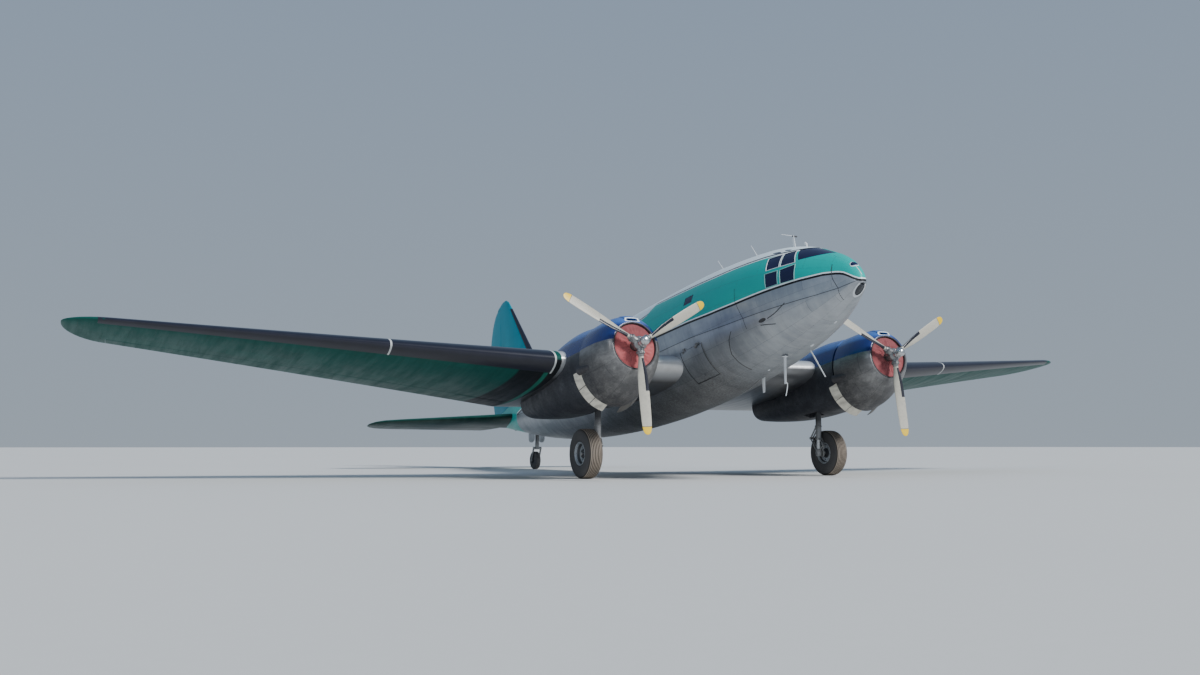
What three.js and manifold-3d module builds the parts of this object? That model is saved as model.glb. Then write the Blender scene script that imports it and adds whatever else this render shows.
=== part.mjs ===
// Twin-engined transport plane with a tail wheel, parked on its three wheels.
// Millimetres. Body frame: X to port, Y aft from the nose tip, Z up, level in flight.
// At the end the whole airframe is tipped nose-up and set down on the ground, Z = 0.
import * as THREE from "three";
import { mergeVertices } from "three/addons/utils/BufferGeometryUtils.js";
import Module from "manifold-3d";

const wasm = await Module();
wasm.setup();

// Whole aeroplane
const GROUND_ANGLE = THREE.MathUtils.degToRad(10);
const NOSE_HEIGHT = 4810; // nose tip above the ground when parked
const HALF_SPAN = 16460;
const FIT = 0.4; // gap between pieces that touch
const SIDES = { port: 1, starboard: -1 };

// Fuselage: two lobes that meet in a crease, described by a table of stations.
const NOSE_TIP = 65;
const WALL = 80;
const LOBE_STEPS = 14;
const JOINT_NOSE = 3900;
const JOINT_REAR = 12900;
const JOINT_TAIL = 18700;
const FUSELAGE_END = 23050;

// Wing
const CENTRE_HALF = 4900;
const ROOT_LE = 6200;
const ROOT_CHORD = 4950;
const ROOT_HEIGHT = -660;
const TIP_LE = 9200;
const TIP_CHORD = 1800;
const DIHEDRAL = THREE.MathUtils.degToRad(6.9);
const INCIDENCE = THREE.MathUtils.degToRad(2.5);
const ROOT_THICK = 0.17;
const TIP_THICK = 0.105;
const HINGE_FLAP = 0.76; // hinge line as a share of the chord
const FLAP_SPAN = [5010, 9700];
const AILERON_SPAN = [9740, 15400];
const END_GAP = 8; // between the end of a surface and the rib beside it
const TIP_ROUND = 1000;
const COVE_GAP = 14;

// Tail
const TAIL_HEIGHT = 640;
const TAIL_HINGE = 21650;
const FIN_HINGE = 21750;

// Engines and propellers
const ENGINE_X = 3940;
const THRUST_HEIGHT = -835;
const BLADE_PLANE = 3800;
const COWL_FRONT = 4040;
const COWL_REAR = 5270;
const COWL_WALL = 55;
const COWL_MOUTH = 557; // radius of the round air inlet
const ENGINE_RADIUS = 680;
const ENGINE_REAR = 4880;
const FIREWALL = 5460;
const BLADE_RADIUS = 2240;

// Landing gear, in the ground frame: Y aft of the main axle, Z above the ground.
const NOSE_Y = -6530;
const TYRE_RADIUS = 657;
const TYRE_WIDTH = 440;
const TYRE_STEPS = 28;
const WHEEL_X = 3950;
const BEAD_RADIUS = 309; // where tyre and rim meet
const AXLE_RADIUS = 55;
const LEG_X = 3600;
const LEG_RADIUS = 85;
const TAIL_AXLE_Y = 12360;
const TAIL_SWIVEL_Y = 12190;
const TAIL_TYRE_RADIUS = 330;
const TAIL_TYRE_WIDTH = 210;
const TAIL_BEAD_RADIUS = 130;

const paint = (color, roughness, metalness) =>
  new THREE.MeshStandardMaterial({ color, roughness, metalness });
const BARE = paint("#8e979c", 0.45, 0.8);
const TEAL = paint("#17a088", 0.35, 0.1);
const DARK_GREEN = paint("#155a48", 0.5, 0.1);
const RED = paint("#8f3a3c", 0.8, 0);
const CREAM = paint("#c9c5b4", 0.5, 0.2);
const STEEL = paint("#6f7276", 0.4, 0.9);
const RUBBER = paint("#2b2825", 0.9, 0);
const GLASS = paint("#20303f", 0.1, 0.1);
const GREY = paint("#5d6468", 0.7, 0.1);
const SEAT = paint("#3a3d44", 0.8, 0);

// A three.js geometry as a solid with its faces out, whichever way it was wound.
function solid(geometry) {
  const bare = geometry.index ? geometry.toNonIndexed() : geometry.clone();
  for (const name of Object.keys(bare.attributes)) {
    if (name !== "position") bare.deleteAttribute(name);
  }
  const merged = mergeVertices(bare, 1e-3);
  const triVerts = new Uint32Array(merged.index.array);
  const vertProperties = merged.attributes.position.array;
  const made = new wasm.Manifold(new wasm.Mesh({ numProp: 3, vertProperties, triVerts }));
  if (made.volume() > 0) return made;
  for (let i = 0; i < triVerts.length; i += 3) {
    [triVerts[i + 1], triVerts[i + 2]] = [triVerts[i + 2], triVerts[i + 1]];
  }
  return new wasm.Manifold(new wasm.Mesh({ numProp: 3, vertProperties, triVerts }));
}

const point = (x, y, z) => new THREE.Vector3(x, y, z);

// A closed solid through a row of rings, each ring a loop of the same number of points.
function loft(rings) {
  const around = rings[0].length;
  const positions = [];
  const face = (a, b, c) => positions.push(...a.toArray(), ...b.toArray(), ...c.toArray());
  for (let i = 0; i + 1 < rings.length; i++) {
    for (let j = 0; j < around; j++) {
      const k = (j + 1) % around;
      face(rings[i][j], rings[i][k], rings[i + 1][k]);
      face(rings[i][j], rings[i + 1][k], rings[i + 1][j]);
    }
  }
  for (const [ring, turn] of [[rings[0], 1], [rings[rings.length - 1], -1]]) {
    const centre = ring.reduce((sum, p) => sum.add(p), point(0, 0, 0)).divideScalar(around);
    for (let j = 0; j < around; j++) {
      const k = (j + 1) % around;
      if (turn > 0) face(centre, ring[k], ring[j]);
      else face(centre, ring[j], ring[k]);
    }
  }
  const geometry = new THREE.BufferGeometry();
  geometry.setAttribute("position", new THREE.Float32BufferAttribute(positions, 3));
  return solid(geometry);
}

function box(x0, x1, y0, y1, z0, z1) {
  const geometry = new THREE.BoxGeometry(Math.abs(x1 - x0), y1 - y0, z1 - z0);
  geometry.translate((x0 + x1) / 2, (y0 + y1) / 2, (z0 + z1) / 2);
  return solid(geometry);
}

// A turned piece on an axis along Y: profile rows are [y, radius].
function turned(profile, x, z, steps = 32) {
  const geometry = new THREE.LatheGeometry(
    profile.map(([y, radius]) => new THREE.Vector2(Math.max(radius, 0), y)), steps);
  geometry.translate(x, 0, z);
  return solid(geometry);
}

// A round bar between two points, thicker at one end where asked.
function bar(from, to, radius, endRadius = radius, sides = 10) {
  const length = from.distanceTo(to);
  const geometry = new THREE.CylinderGeometry(endRadius, radius, length, sides);
  const turn = new THREE.Quaternion().setFromUnitVectors(
    point(0, 1, 0), to.clone().sub(from).normalize());
  geometry.applyQuaternion(turn);
  geometry.translate(...from.clone().add(to).multiplyScalar(0.5).toArray());
  return solid(geometry);
}

// Smooth value of one column of a table at a station, cubic between the rows.
function column(rows, key, at, warp = (v) => v) {
  const last = rows.length - 1;
  let i = 0;
  while (i < last - 1 && at > rows[i + 1][0]) i++;
  const slope = (n) => {
    const lo = Math.max(n - 1, 0);
    const hi = Math.min(n + 1, last);
    return (rows[hi][key] - rows[lo][key]) / (warp(rows[hi][0]) - warp(rows[lo][0]));
  };
  const step = warp(rows[i + 1][0]) - warp(rows[i][0]);
  const t = Math.min(Math.max((warp(at) - warp(rows[i][0])) / step, 0), 1);
  const t2 = t * t;
  const t3 = t2 * t;
  return (2 * t3 - 3 * t2 + 1) * rows[i][key] + (t3 - 2 * t2 + t) * step * slope(i)
    + (3 * t2 - 2 * t3) * rows[i + 1][key] + (t3 - t2) * step * slope(i + 1);
}

// Fuselage stations: aft of nose, top, bottom, centre and half width of the upper lobe,
// height of the crease where the lower lobe starts.
const STATIONS = [
  [65, -60, -180, -120, 60, -120],
  [125, 115, -240, -97, 132, -134],
  [265, 335, -340, -57, 236, -160],
  [560, 613, -495, 0, 391, -205],
  [1050, 910, -670, 55, 641, -230],
  [1740, 1245, -886, 120, 928, -236],
  [2670, 1517, -1103, 198, 1183, -227],
  [3900, 1680, -1323, 272, 1375, -208],
  [5500, 1800, -1529, 316, 1482, -143],
  [8000, 1861, -1650, 326, 1511, -107],
  [10500, 1859, -1591, 328, 1514, -91],
  [12900, 1826, -1401, 351, 1451, -17],
  [15300, 1735, -1080, 430, 1265, 110],
  [17200, 1625, -700, 500, 1010, 290],
  [18700, 1520, -330, 560, 780, 470],
  [20300, 1390, 110, 640, 540, 640],
  [21800, 1230, 530, 790, 300, 790],
  [22700, 1110, 770, 900, 150, 900],
  [23050, 1030, 880, 950, 70, 950],
];

// One ring of the double-lobe section, drawn in by the given depth.
function fuselageRing(y, inset) {
  const [top, bottom, centre, width, crease] = [1, 2, 3, 4, 5].map(
    (key) => column(STATIONS, key, y, Math.sqrt));
  const upper = { z: centre, width: width - inset, height: top - centre - inset };
  const meet = Math.asin((crease - centre) / upper.height);
  const lower = { z: crease, width: upper.width * Math.cos(meet), height: crease - bottom - inset };
  const ring = [];
  for (const [lobe, from, to] of [
    [upper, meet, Math.PI - meet], [lower, Math.PI, 2 * Math.PI]]) {
    for (let i = 0; i < LOBE_STEPS; i++) {
      const angle = from + ((to - from) * i) / LOBE_STEPS;
      ring.push(point(lobe.width * Math.cos(angle), y, lobe.z + lobe.height * Math.sin(angle)));
    }
  }
  return ring;
}

// The fuselage between two stations as a solid, with its skin drawn in by the given depth.
function hull(from, to, inset, steps) {
  const rings = [];
  for (let i = 0; i <= steps; i++) {
    const share = i / steps;
    const y = from < 500 ? from + (to - from) * share ** 1.8 : from + (to - from) * share;
    rings.push(fuselageRing(y, inset));
  }
  return loft(rings);
}

const nodes = new THREE.Group();
const onGround = new THREE.Group();

function add(group, name, shape, material) {
  const mesh = shape.getMesh();
  const geometry = new THREE.BufferGeometry();
  geometry.setAttribute("position", new THREE.BufferAttribute(mesh.vertProperties, 3));
  geometry.setIndex(new THREE.BufferAttribute(mesh.triVerts, 1));
  const made = new THREE.Mesh(geometry, material);
  made.name = name;
  group.add(made);
  return made;
}

// Wing section at a span station: where its nose, chord, height and thickness are.
function wingStation(x) {
  const span = Math.abs(x);
  const share = Math.max(0, (span - CENTRE_HALF) / (HALF_SPAN - CENTRE_HALF));
  let lead = ROOT_LE + (TIP_LE - ROOT_LE) * share;
  let chord = ROOT_CHORD + (TIP_CHORD - ROOT_CHORD) * share;
  const round = Math.max(0, (span - (HALF_SPAN - TIP_ROUND)) / TIP_ROUND);
  const keep = Math.sqrt(Math.max(0, 1 - round ** 2)) * 0.97 + 0.03;
  lead += chord * (1 - keep) * 0.45;
  chord *= keep;
  return {
    x, lead, chord,
    height: ROOT_HEIGHT + Math.max(0, span - CENTRE_HALF) * Math.tan(DIHEDRAL),
    thick: ROOT_THICK + (TIP_THICK - ROOT_THICK) * share,
    twist: INCIDENCE * (1 - 0.6 * share),
  };
}

const AIRFOIL_STEPS = 10;

// Half thickness and camber of the section at a share of the chord.
function airfoil(share, thick) {
  const half = 5 * thick * (0.2969 * Math.sqrt(share) - 0.126 * share - 0.3516 * share ** 2
    + 0.2843 * share ** 3 - 0.1015 * share ** 4);
  return { half: Math.max(half, 0.0012), camber: 0.08 * share * (1 - share) ** 2 * 0.9 };
}

// Place of a section point: share of the chord and a height in shares of the chord.
function sectionPoint(station, share, height) {
  const drop = Math.sin(station.twist);
  const run = Math.cos(station.twist);
  return point(station.x,
    station.lead + station.chord * (share * run + height * drop),
    station.height + station.chord * (height * run - share * drop));
}

function wingRing(station) {
  const ring = [];
  for (let i = -AIRFOIL_STEPS; i < AIRFOIL_STEPS; i++) {
    const share = ((1 - Math.cos((Math.PI * Math.abs(i)) / AIRFOIL_STEPS)) / 2);
    const { half, camber } = airfoil(share, station.thick);
    ring.push(sectionPoint(station, share, i < 0 ? camber - half : camber + half));
  }
  const { half } = airfoil(1, station.thick);
  ring.push(sectionPoint(station, 1, half));
  return ring;
}

// What lies behind a hinge line: a round nose about the hinge and all that is aft of it.
// Ends hold the hinge point and the radius there; across is the direction of the thickness.
function behindHinge(ends, extra, across, reach = 3000) {
  const rings = ends.map(({ at, radius }) => {
    const r = radius + extra;
    const ring = [];
    for (let i = 0; i <= 10; i++) {
      const angle = (Math.PI * i) / 10;
      ring.push(at.clone().addScaledVector(across, r * Math.cos(angle))
        .add(point(0, -r * Math.sin(angle), 0)));
    }
    ring.push(at.clone().addScaledVector(across, -r * 3).add(point(0, reach * 0.1, 0)));
    ring.push(at.clone().addScaledVector(across, -r * 3).add(point(0, reach, 0)));
    ring.push(at.clone().addScaledVector(across, r * 3).add(point(0, reach, 0)));
    ring.push(at.clone().addScaledVector(across, r * 3).add(point(0, reach * 0.1, 0)));
    return ring;
  });
  return loft(rings);
}

// The hinge line of an outer panel is straight from its root to where the tip rounds off.
function wingHinge(sign, span) {
  const [root, end] = [CENTRE_HALF, HALF_SPAN - TIP_ROUND].map((x) => {
    const station = wingStation(sign * x);
    const { half, camber } = airfoil(HINGE_FLAP, station.thick);
    return { at: sectionPoint(station, HINGE_FLAP, camber), radius: half * station.chord };
  });
  const share = (span - CENTRE_HALF) / (HALF_SPAN - TIP_ROUND - CENTRE_HALF);
  return {
    at: root.at.clone().lerp(end.at, share),
    radius: root.radius + (end.radius - root.radius) * share,
  };
}

const UP = point(0, 0, 1);
const AFT = point(0, 1, 0);
const ACROSS = point(1, 0, 0);

// A frame on a hinge line: along it, back from it, and square to both.
const PIN_SIDES = 12;
function hingeFrame(at, along, toward) {
  const back = toward.clone().addScaledVector(along, -along.dot(toward)).normalize();
  return new THREE.Matrix4().makeBasis(along, back, along.clone().cross(back)).setPosition(at);
}
function framedBox(frame, [a0, a1], [b0, b1], [c0, c1]) {
  const geometry = new THREE.BoxGeometry(a1 - a0, b1 - b0, c1 - c0);
  geometry.translate((a0 + a1) / 2, (b0 + b1) / 2, (c0 + c1) / 2);
  geometry.applyMatrix4(frame);
  return solid(geometry);
}
function framedPin(frame, [a0, a1], radius, sides = PIN_SIDES) {
  const geometry = new THREE.CylinderGeometry(radius, radius, a1 - a0, sides);
  geometry.rotateZ(Math.PI / 2);
  geometry.translate((a0 + a1) / 2, 0, 0);
  geometry.applyMatrix4(frame);
  return solid(geometry);
}

// A control surface's pins stick out of its ends along the hinge line, into bores in the
// fixed part. Each row of ends is a place along the frame and the way its pin points.
const PIN_RADIUS = 12;
const PIN_REACH = 20;
const boreFor = (radius) => (radius + 0.2) / Math.cos(Math.PI / PIN_SIDES);
function hung(fixed, surface, frame, ends) {
  for (const [at, way] of ends) {
    const span = (inner, outer) => [at + way * inner, at + way * outer].sort((a, b) => a - b);
    fixed = fixed.subtract(framedPin(frame, span(-5, PIN_REACH + FIT), boreFor(PIN_RADIUS)));
    surface = surface.add(framedPin(frame, span(-15, PIN_REACH), PIN_RADIUS));
  }
  return [fixed, surface];
}

// Wing: centre section through the fuselage, then an outer panel on each side with its
// flap and aileron cut from it along one hinge line.
const centreWing = loft([-CENTRE_HALF, CENTRE_HALF].map((x) => wingRing(wingStation(x))));
add(nodes, "wing_centre_section", centreWing, BARE);

const TIP_STATIONS = [0, 0.3, 0.55, 0.75, 0.88, 0.96, 1];
for (const [side, sign] of Object.entries(SIDES)) {
  const stations = [CENTRE_HALF + FIT, ...TIP_STATIONS.map((s) => HALF_SPAN - TIP_ROUND + TIP_ROUND * s)];
  const panel = loft(stations.map((x) => wingRing(wingStation(sign * x))));
  const line = [FLAP_SPAN[0] - 300, AILERON_SPAN[1] + 300].map((x) => wingHinge(sign, x));
  const along = line[1].at.clone().sub(line[0].at).normalize();
  const frame = hingeFrame(line[0].at, along, AFT);
  const whole = panel.intersect(behindHinge(line, 0, UP));
  const cove = behindHinge(line, COVE_GAP, UP);
  let fixed = panel;
  for (const [name, span, material] of [
    ["flap", FLAP_SPAN, DARK_GREEN], ["aileron", AILERON_SPAN, GREY]]) {
    // Both ends are square to the hinge line, so that nothing binds as the surface turns.
    const [from, to] = span.map((x) => wingHinge(sign, x).at.distanceTo(line[0].at));
    const slab = (gap) => framedBox(frame, [from - gap, to + gap], [-1000, 3000], [-900, 900]);
    let surface = whole.intersect(slab(0));
    fixed = fixed.subtract(cove.intersect(slab(END_GAP)));
    [fixed, surface] = hung(fixed, surface, frame, [[from, -1], [to, 1]]);
    add(nodes, name + "_" + side, surface, material);
  }
  add(nodes, "wing_panel_" + side, fixed, DARK_GREEN);
}

// Tailplane sections: half span, leading edge, trailing edge.
const TAILPLANE = [
  [150, 19700, 22900],
  [4600, 21000, 22700],
  [5100, 21180, 22600],
  [5380, 21400, 22420],
  [5550, 21750, 22150],
];
function bladeRing(lead, trail, thick, place) {
  const ring = [];
  const chord = trail - lead;
  for (let i = -AIRFOIL_STEPS; i < AIRFOIL_STEPS; i++) {
    const share = (1 - Math.cos((Math.PI * Math.abs(i)) / AIRFOIL_STEPS)) / 2;
    const half = airfoil(share, thick).half * chord;
    ring.push(place(lead + chord * share, i < 0 ? -half : half));
  }
  ring.push(place(trail, airfoil(1, thick).half * chord));
  return ring;
}
const REAR_STEPS = 6;
const TAIL_CONE_STEPS = 7;
const tailCone = hull(JOINT_TAIL + FIT, FUSELAGE_END, 0, TAIL_CONE_STEPS);
const tailConeRoom = hull(JOINT_TAIL + FIT, FUSELAGE_END, -FIT, TAIL_CONE_STEPS)
  .add(hull(JOINT_REAR, JOINT_TAIL + 1, -FIT, REAR_STEPS));
// The elevators' tube ends in the tail cone on each side.
const TUBE_RADIUS = 15;
const torqueTube = (sign, radius) => framedPin(
  hingeFrame(point(0, TAIL_HINGE, TAIL_HEIGHT), point(sign, 0, 0), AFT), [245, 500], radius);
for (const [side, sign] of Object.entries(SIDES)) {
  const plane = loft(TAILPLANE.map(([x, lead, trail]) => bladeRing(lead, trail, 0.11,
    (y, z) => point(sign * x, y, TAIL_HEIGHT + z))));
  const hinge = (x) => ({ at: point(sign * x, TAIL_HINGE, TAIL_HEIGHT), radius: x < 3000 ? 137 : 93 });
  const ends = [hinge(100), hinge(5000)];
  const cove = behindHinge(ends, COVE_GAP, UP);
  const tipKeep = box(sign * 5000, sign * 6000, 18000, 24000, -1000, 2000);
  const inner = loft([[21000, 330], [24000, 980]].map(([y, x]) => [
    point(sign * x, y, -500), point(sign * 4980, y, -500),
    point(sign * 4980, y, 1800), point(sign * x, y, 1800)]));
  const surface = plane.intersect(behindHinge(ends, 0, UP)).intersect(inner)
    .add(torqueTube(sign, TUBE_RADIUS));
  const fixed = plane.subtract(cove.subtract(tipKeep)).subtract(tailConeRoom);
  add(nodes, "tailplane_" + side, fixed, DARK_GREEN);
  add(nodes, "elevator_" + side, surface, DARK_GREEN);
}

// Fin and rudder sections: height, leading edge, trailing edge, thickness as a share.
const FIN = [
  [1000, 16900, 23020, 0.055],
  [1500, 17300, 23120, 0.065],
  [2000, 18050, 23200, 0.08],
  [2600, 18680, 23260, 0.09],
  [3400, 19330, 23240, 0.09],
  [4200, 19960, 23060, 0.09],
  [4800, 20430, 22770, 0.09],
  [5200, 20740, 22440, 0.09],
  [5450, 20950, 22080, 0.09],
  [5590, 21200, 21620, 0.09],
];
const finWhole = loft(FIN.map(([z, lead, trail, thick]) => bladeRing(lead, trail, thick,
  (y, x) => point(x, y, z))));
const finHinge = (z) => ({ at: point(0, FIN_HINGE, z), radius: 187 - 0.0225 * (z - 1000) });
const finEnds = [finHinge(900), finHinge(5330)];
const finCove = behindHinge([finHinge(800), finHinge(5350)], COVE_GAP, ACROSS);
const rudderFloor = hull(JOINT_TAIL + FIT, FUSELAGE_END, -28, TAIL_CONE_STEPS);
const rudderPin = (radius, foot) => framedPin(
  hingeFrame(point(0, FIN_HINGE, 0), UP, AFT), [foot, 1400], radius);
add(nodes, "fin", finWhole.subtract(finCove).subtract(tailConeRoom), TEAL);
add(nodes, "rudder", finWhole.intersect(behindHinge(finEnds, 0, ACROSS))
  .subtract(rudderFloor).add(rudderPin(TUBE_RADIUS, 1120)), TEAL);

// Fuselage shells, hollow, with the wing passing through the lower lobe.
// Inner spaces run past the joints; each takes the same depth wherever it is used again.
const INNER = {
  nose: (inset) => hull(NOSE_TIP + 90, JOINT_NOSE + 100, inset, 10),
  forward: (inset) => hull(JOINT_NOSE - 100, JOINT_REAR + 100, inset, 6),
  rear: (inset) => hull(JOINT_REAR - 100, JOINT_TAIL + 100, inset, REAR_STEPS),
};
// Panels of the shell that open. Each turns on a straight hinge that touches the skin from
// outside; its edges are square to that hinge and its free edge is an arc about it, so that
// it swings out clear of the frame. Lean is the hinge's tilt from upright.
const DOOR_GAP = 7;
const LEAN = THREE.MathUtils.degToRad(13);
const upright = point(-Math.sin(LEAN), 0, Math.cos(LEAN));
const outward = point(Math.cos(LEAN), 0, Math.sin(LEAN));
const TUCK = THREE.MathUtils.degToRad(32); // the hold door follows the round of the belly
const HATCHES = {
  cargo_door_front: { shell: "rear", at: point(1425, 13293, 560), out: outward,
    free: point(0, 1, 0), along: upright, length: 1267, span: [-600, 640],
    knuckles: [-250, 400] },
  cargo_door_rear: { shell: "rear", at: point(1217, 15807, 560), out: outward,
    free: point(0, -1, 0), along: upright, length: 1225, span: [-600, 640],
    knuckles: [-250, 400] },
  hold_door: { shell: "forward", at: point(-1412, 5620, -410),
    out: point(-Math.cos(TUCK), 0, -Math.sin(TUCK)), free: point(Math.sin(TUCK), 0, -Math.cos(TUCK)),
    along: point(0, 1, 0), length: 950, span: [-500, 500], knuckles: [-320, 320] },
};
function hatchBlock({ at, out, free, along, length, span }, grow, edge = 0) {
  const geometry = new THREE.BoxGeometry(900, length + grow + edge, span[1] - span[0] + 2 * grow);
  geometry.translate(-200, DOOR_GAP + (length + edge - grow) / 2, (span[0] + span[1]) / 2);
  geometry.applyMatrix4(new THREE.Matrix4().makeBasis(out, free, along).setPosition(at));
  return solid(geometry);
}
function hatchSweep({ at, out, free, along, length, span }) {
  const geometry = new THREE.CylinderGeometry(length, length, span[1] - span[0] + 100, 72);
  geometry.rotateX(Math.PI / 2);
  geometry.applyMatrix4(new THREE.Matrix4().makeBasis(out, free, along).setPosition(at));
  return solid(geometry);
}
// Hinge knuckles stand off the skin on both sides of the hinge line, end to end.
const KNUCKLE = { radius: 12, length: 90, depth: 120, reach: 60 };
function knuckles(hatch, turning) {
  const frame = hingeFrame(hatch.at, hatch.along, hatch.free);
  const outwards = new THREE.Vector3().setFromMatrixColumn(frame, 2).dot(hatch.out) > 0 ? 1 : -1;
  const deep = [-KNUCKLE.depth, KNUCKLE.radius * 0.6].map((v) => v * outwards).sort((a, b) => a - b);
  return hatch.knuckles.map((place) => {
    const span = turning ? [place + FIT, place + KNUCKLE.length] : [place - KNUCKLE.length, place];
    const across = turning ? [DOOR_GAP, KNUCKLE.reach] : [-KNUCKLE.reach, -2];
    return framedPin(frame, span, KNUCKLE.radius).add(framedBox(frame, span, across, deep));
  }).reduce((sum, knuckle) => sum.add(knuckle));
}
function withHatches(shape, room, names) {
  return names.reduce((rest, name) => rest.subtract(hatchBlock(HATCHES[name], DOOR_GAP, 14))
    .add(knuckles(HATCHES[name], false).subtract(room)), shape);
}

// Cockpit windows as prisms cut through the shell: rows of aft and height corners. The two
// halves of the windscreen meet at a centre post.
const SIDE_PANES = [
  [[1590, 300], [1880, 300], [1930, 610], [1620, 630]],
  [[2035, 320], [2320, 320], [2380, 635], [2075, 625]],
  [[1610, 770], [1960, 770], [2030, 1080], [1765, 1090]],
  [[2055, 785], [2370, 785], [2450, 1085], [2095, 1085]],
];
const WINDSCREEN = [[400, 795], [1550, 795], [1725, 1100], [400, 1100]];
const CENTRE_POST = 35;
function prism(corners, x0, x1) {
  return loft([x0, x1].map((x) => corners.map(([y, z]) => point(x, y, z))));
}
// Corners moved away from the middle of their row, or toward it where grow is negative.
function resized(row, grow) {
  const centre = row.reduce(([y, z], [v, w]) => [y + v / row.length, z + w / row.length], [0, 0]);
  return row.map(([y, z]) => {
    const away = Math.hypot(y - centre[0], z - centre[1]);
    return [y + ((y - centre[0]) / away) * grow, z + ((z - centre[1]) / away) * grow];
  });
}
function windowBlocks(gap) {
  const shapes = [];
  for (const sign of [1, -1]) {
    shapes.push(prism(resized(WINDSCREEN, -gap * 2), sign * (CENTRE_POST + gap), sign * 900));
    for (const row of SIDE_PANES) shapes.push(prism(resized(row, -gap * 2), sign * 300, sign * 1800));
  }
  return shapes.reduce((sum, shape) => sum.add(shape));
}
const noseOuter = (inset) => hull(NOSE_TIP, JOINT_NOSE - FIT, inset, 13);
const noseShell = noseOuter(0).subtract(INNER.nose(WALL));
const LAMP = { x: 0, z: -300, radius: 116, depth: 420 };
const lampBlock = (grow) => turned([[-100, 0], [-100, LAMP.radius + grow],
  [LAMP.depth + grow, LAMP.radius + grow], [LAMP.depth + grow, 0]], LAMP.x, LAMP.z, 20);
add(nodes, "nose_shell", noseShell.subtract(windowBlocks(0)).subtract(lampBlock(FIT)), BARE);
add(nodes, "nose_lamp", noseOuter(12).intersect(lampBlock(0)), GLASS);

const cabinWindow = prism([[5330, 795], [5730, 795], [5730, 1015], [5330, 1015]], -1900, 1900);
const forwardShell = hull(JOINT_NOSE, JOINT_REAR - FIT, 0, 7).subtract(INNER.forward(WALL));
add(nodes, "forward_shell", withHatches(forwardShell.subtract(cabinWindow)
  .subtract(wingRoom(-2500, 2500)), INNER.forward(WALL), ["hold_door"]), BARE);
const rearShell = hull(JOINT_REAR, JOINT_TAIL, 0, REAR_STEPS).subtract(INNER.rear(WALL));
add(nodes, "rear_shell", withHatches(rearShell, INNER.rear(WALL),
  ["cargo_door_front", "cargo_door_rear"]), BARE);

const shells = { forward: forwardShell, rear: rearShell };
for (const [name, hatch] of Object.entries(HATCHES)) {
  add(nodes, name, shells[hatch.shell].intersect(hatchBlock(hatch, 0))
    .intersect(hatchSweep(hatch))
    .add(knuckles(hatch, true).subtract(INNER[hatch.shell](WALL))), BARE);
}

// Glazing: one moulded band inside the shell with a plug in each window opening.
const PLUG_GAP = 2;
const glassBand = noseOuter(45).subtract(hull(200, 2800, WALL + 45, 6))
  .intersect(box(-1500, 1500, 250, 2600, 150, 1300))
  .intersect(windowBlocks(PLUG_GAP).add(INNER.nose(WALL + FIT)));
add(nodes, "cockpit_glazing", glassBand, GLASS);

// Floor of cockpit and cabin, carried on the crease; the bulkhead stands on it.
const FLOOR_TOP = -60;
const FLOOR_THICK = 55;
const floorPart = (space, from, to, gap = 1) => INNER[space](WALL + gap).intersect(
  box(-2000, 2000, from, to, FLOOR_TOP - FLOOR_THICK, FLOOR_TOP));
add(nodes, "bulkhead", INNER.nose(WALL + FIT).intersect(
  box(-2000, 2000, 3500, 3560, FLOOR_TOP + FIT, 1700)
    .subtract(box(-330, 330, 3400, 3700, FLOOR_TOP, 1250))), GREY);
add(nodes, "cabin_floor", floorPart("nose", 1200, JOINT_NOSE - 2)
  .add(floorPart("forward", JOINT_NOSE - 4, JOINT_REAR - 4))
  .add(floorPart("rear", JOINT_REAR - 6, 16900, 3)), GREY);

// Cockpit: two seats and the panel with its pedestal, on one plinth.
const deck = FLOOR_TOP + FIT;
const seat = (x) => box(x - 240, x + 240, 2250, 2720, deck + 20, deck + 420)
  .add(box(x - 240, x + 240, 2640, 2760, deck + 20, deck + 1100));
add(nodes, "cockpit_fittings", box(-600, 600, 1380, 2760, deck, deck + 60)
  .add(seat(430)).add(seat(-430))
  .add(box(-150, 150, 1380, 2300, deck + 20, deck + 380))
  .add(box(-560, 560, 1380, 1480, deck + 20, deck + 560)), SEAT);

// Engine cowling and nacelle sections: aft of nose, top, bottom, half width. The lower side
// bulges over the oil cooler, and the nacelle's deep belly holds the folded wheel.
const COWLING = [
  [COWL_FRONT, THRUST_HEIGHT + 625, THRUST_HEIGHT - 625, 625],
  [4090, -145, -1535, 690],
  [4220, -60, -1645, 770],
  [4470, 8, -1825, 865],
  [4820, 42, -1995, 925],
  [COWL_REAR, 48, -2095, 940],
];
const NACELLE = [
  [FIREWALL, 52, -1960, 830],
  [6300, 130, -1900, 860],
  [7200, 80, -1880, 850],
  [8200, -110, -1800, 790],
  [9200, -350, -1640, 690],
  [9900, -600, -1490, 590],
];
const OVAL_STEPS = 22;

// One oval ring, drawn in by the given depth; below its middle it is a little boxy.
function ovalRing([y, top, bottom, half], x, inset, lowerPower = 1) {
  const ring = [];
  for (let i = 0; i < OVAL_STEPS; i++) {
    const angle = (2 * Math.PI * i) / OVAL_STEPS;
    const power = i > OVAL_STEPS / 2 ? lowerPower : 1;
    const across = Math.sign(Math.cos(angle)) * Math.abs(Math.cos(angle)) ** power;
    const up = Math.sign(Math.sin(angle)) * Math.abs(Math.sin(angle)) ** power;
    ring.push(point(x + (half - inset) * across, y,
      (top + bottom) / 2 + ((top - bottom) / 2 - inset) * up));
  }
  return ring;
}

// Room for the wing in a nacelle or the fuselage, a little larger than the wing itself.
function wingRoom(from, to) {
  return loft([from, to].map((x) => {
    const station = wingStation(0);
    station.x = x;
    station.lead -= FIT * 2;
    station.chord += FIT * 4;
    station.thick += (FIT * 4) / station.chord;
    return wingRing(station);
  }));
}

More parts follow.
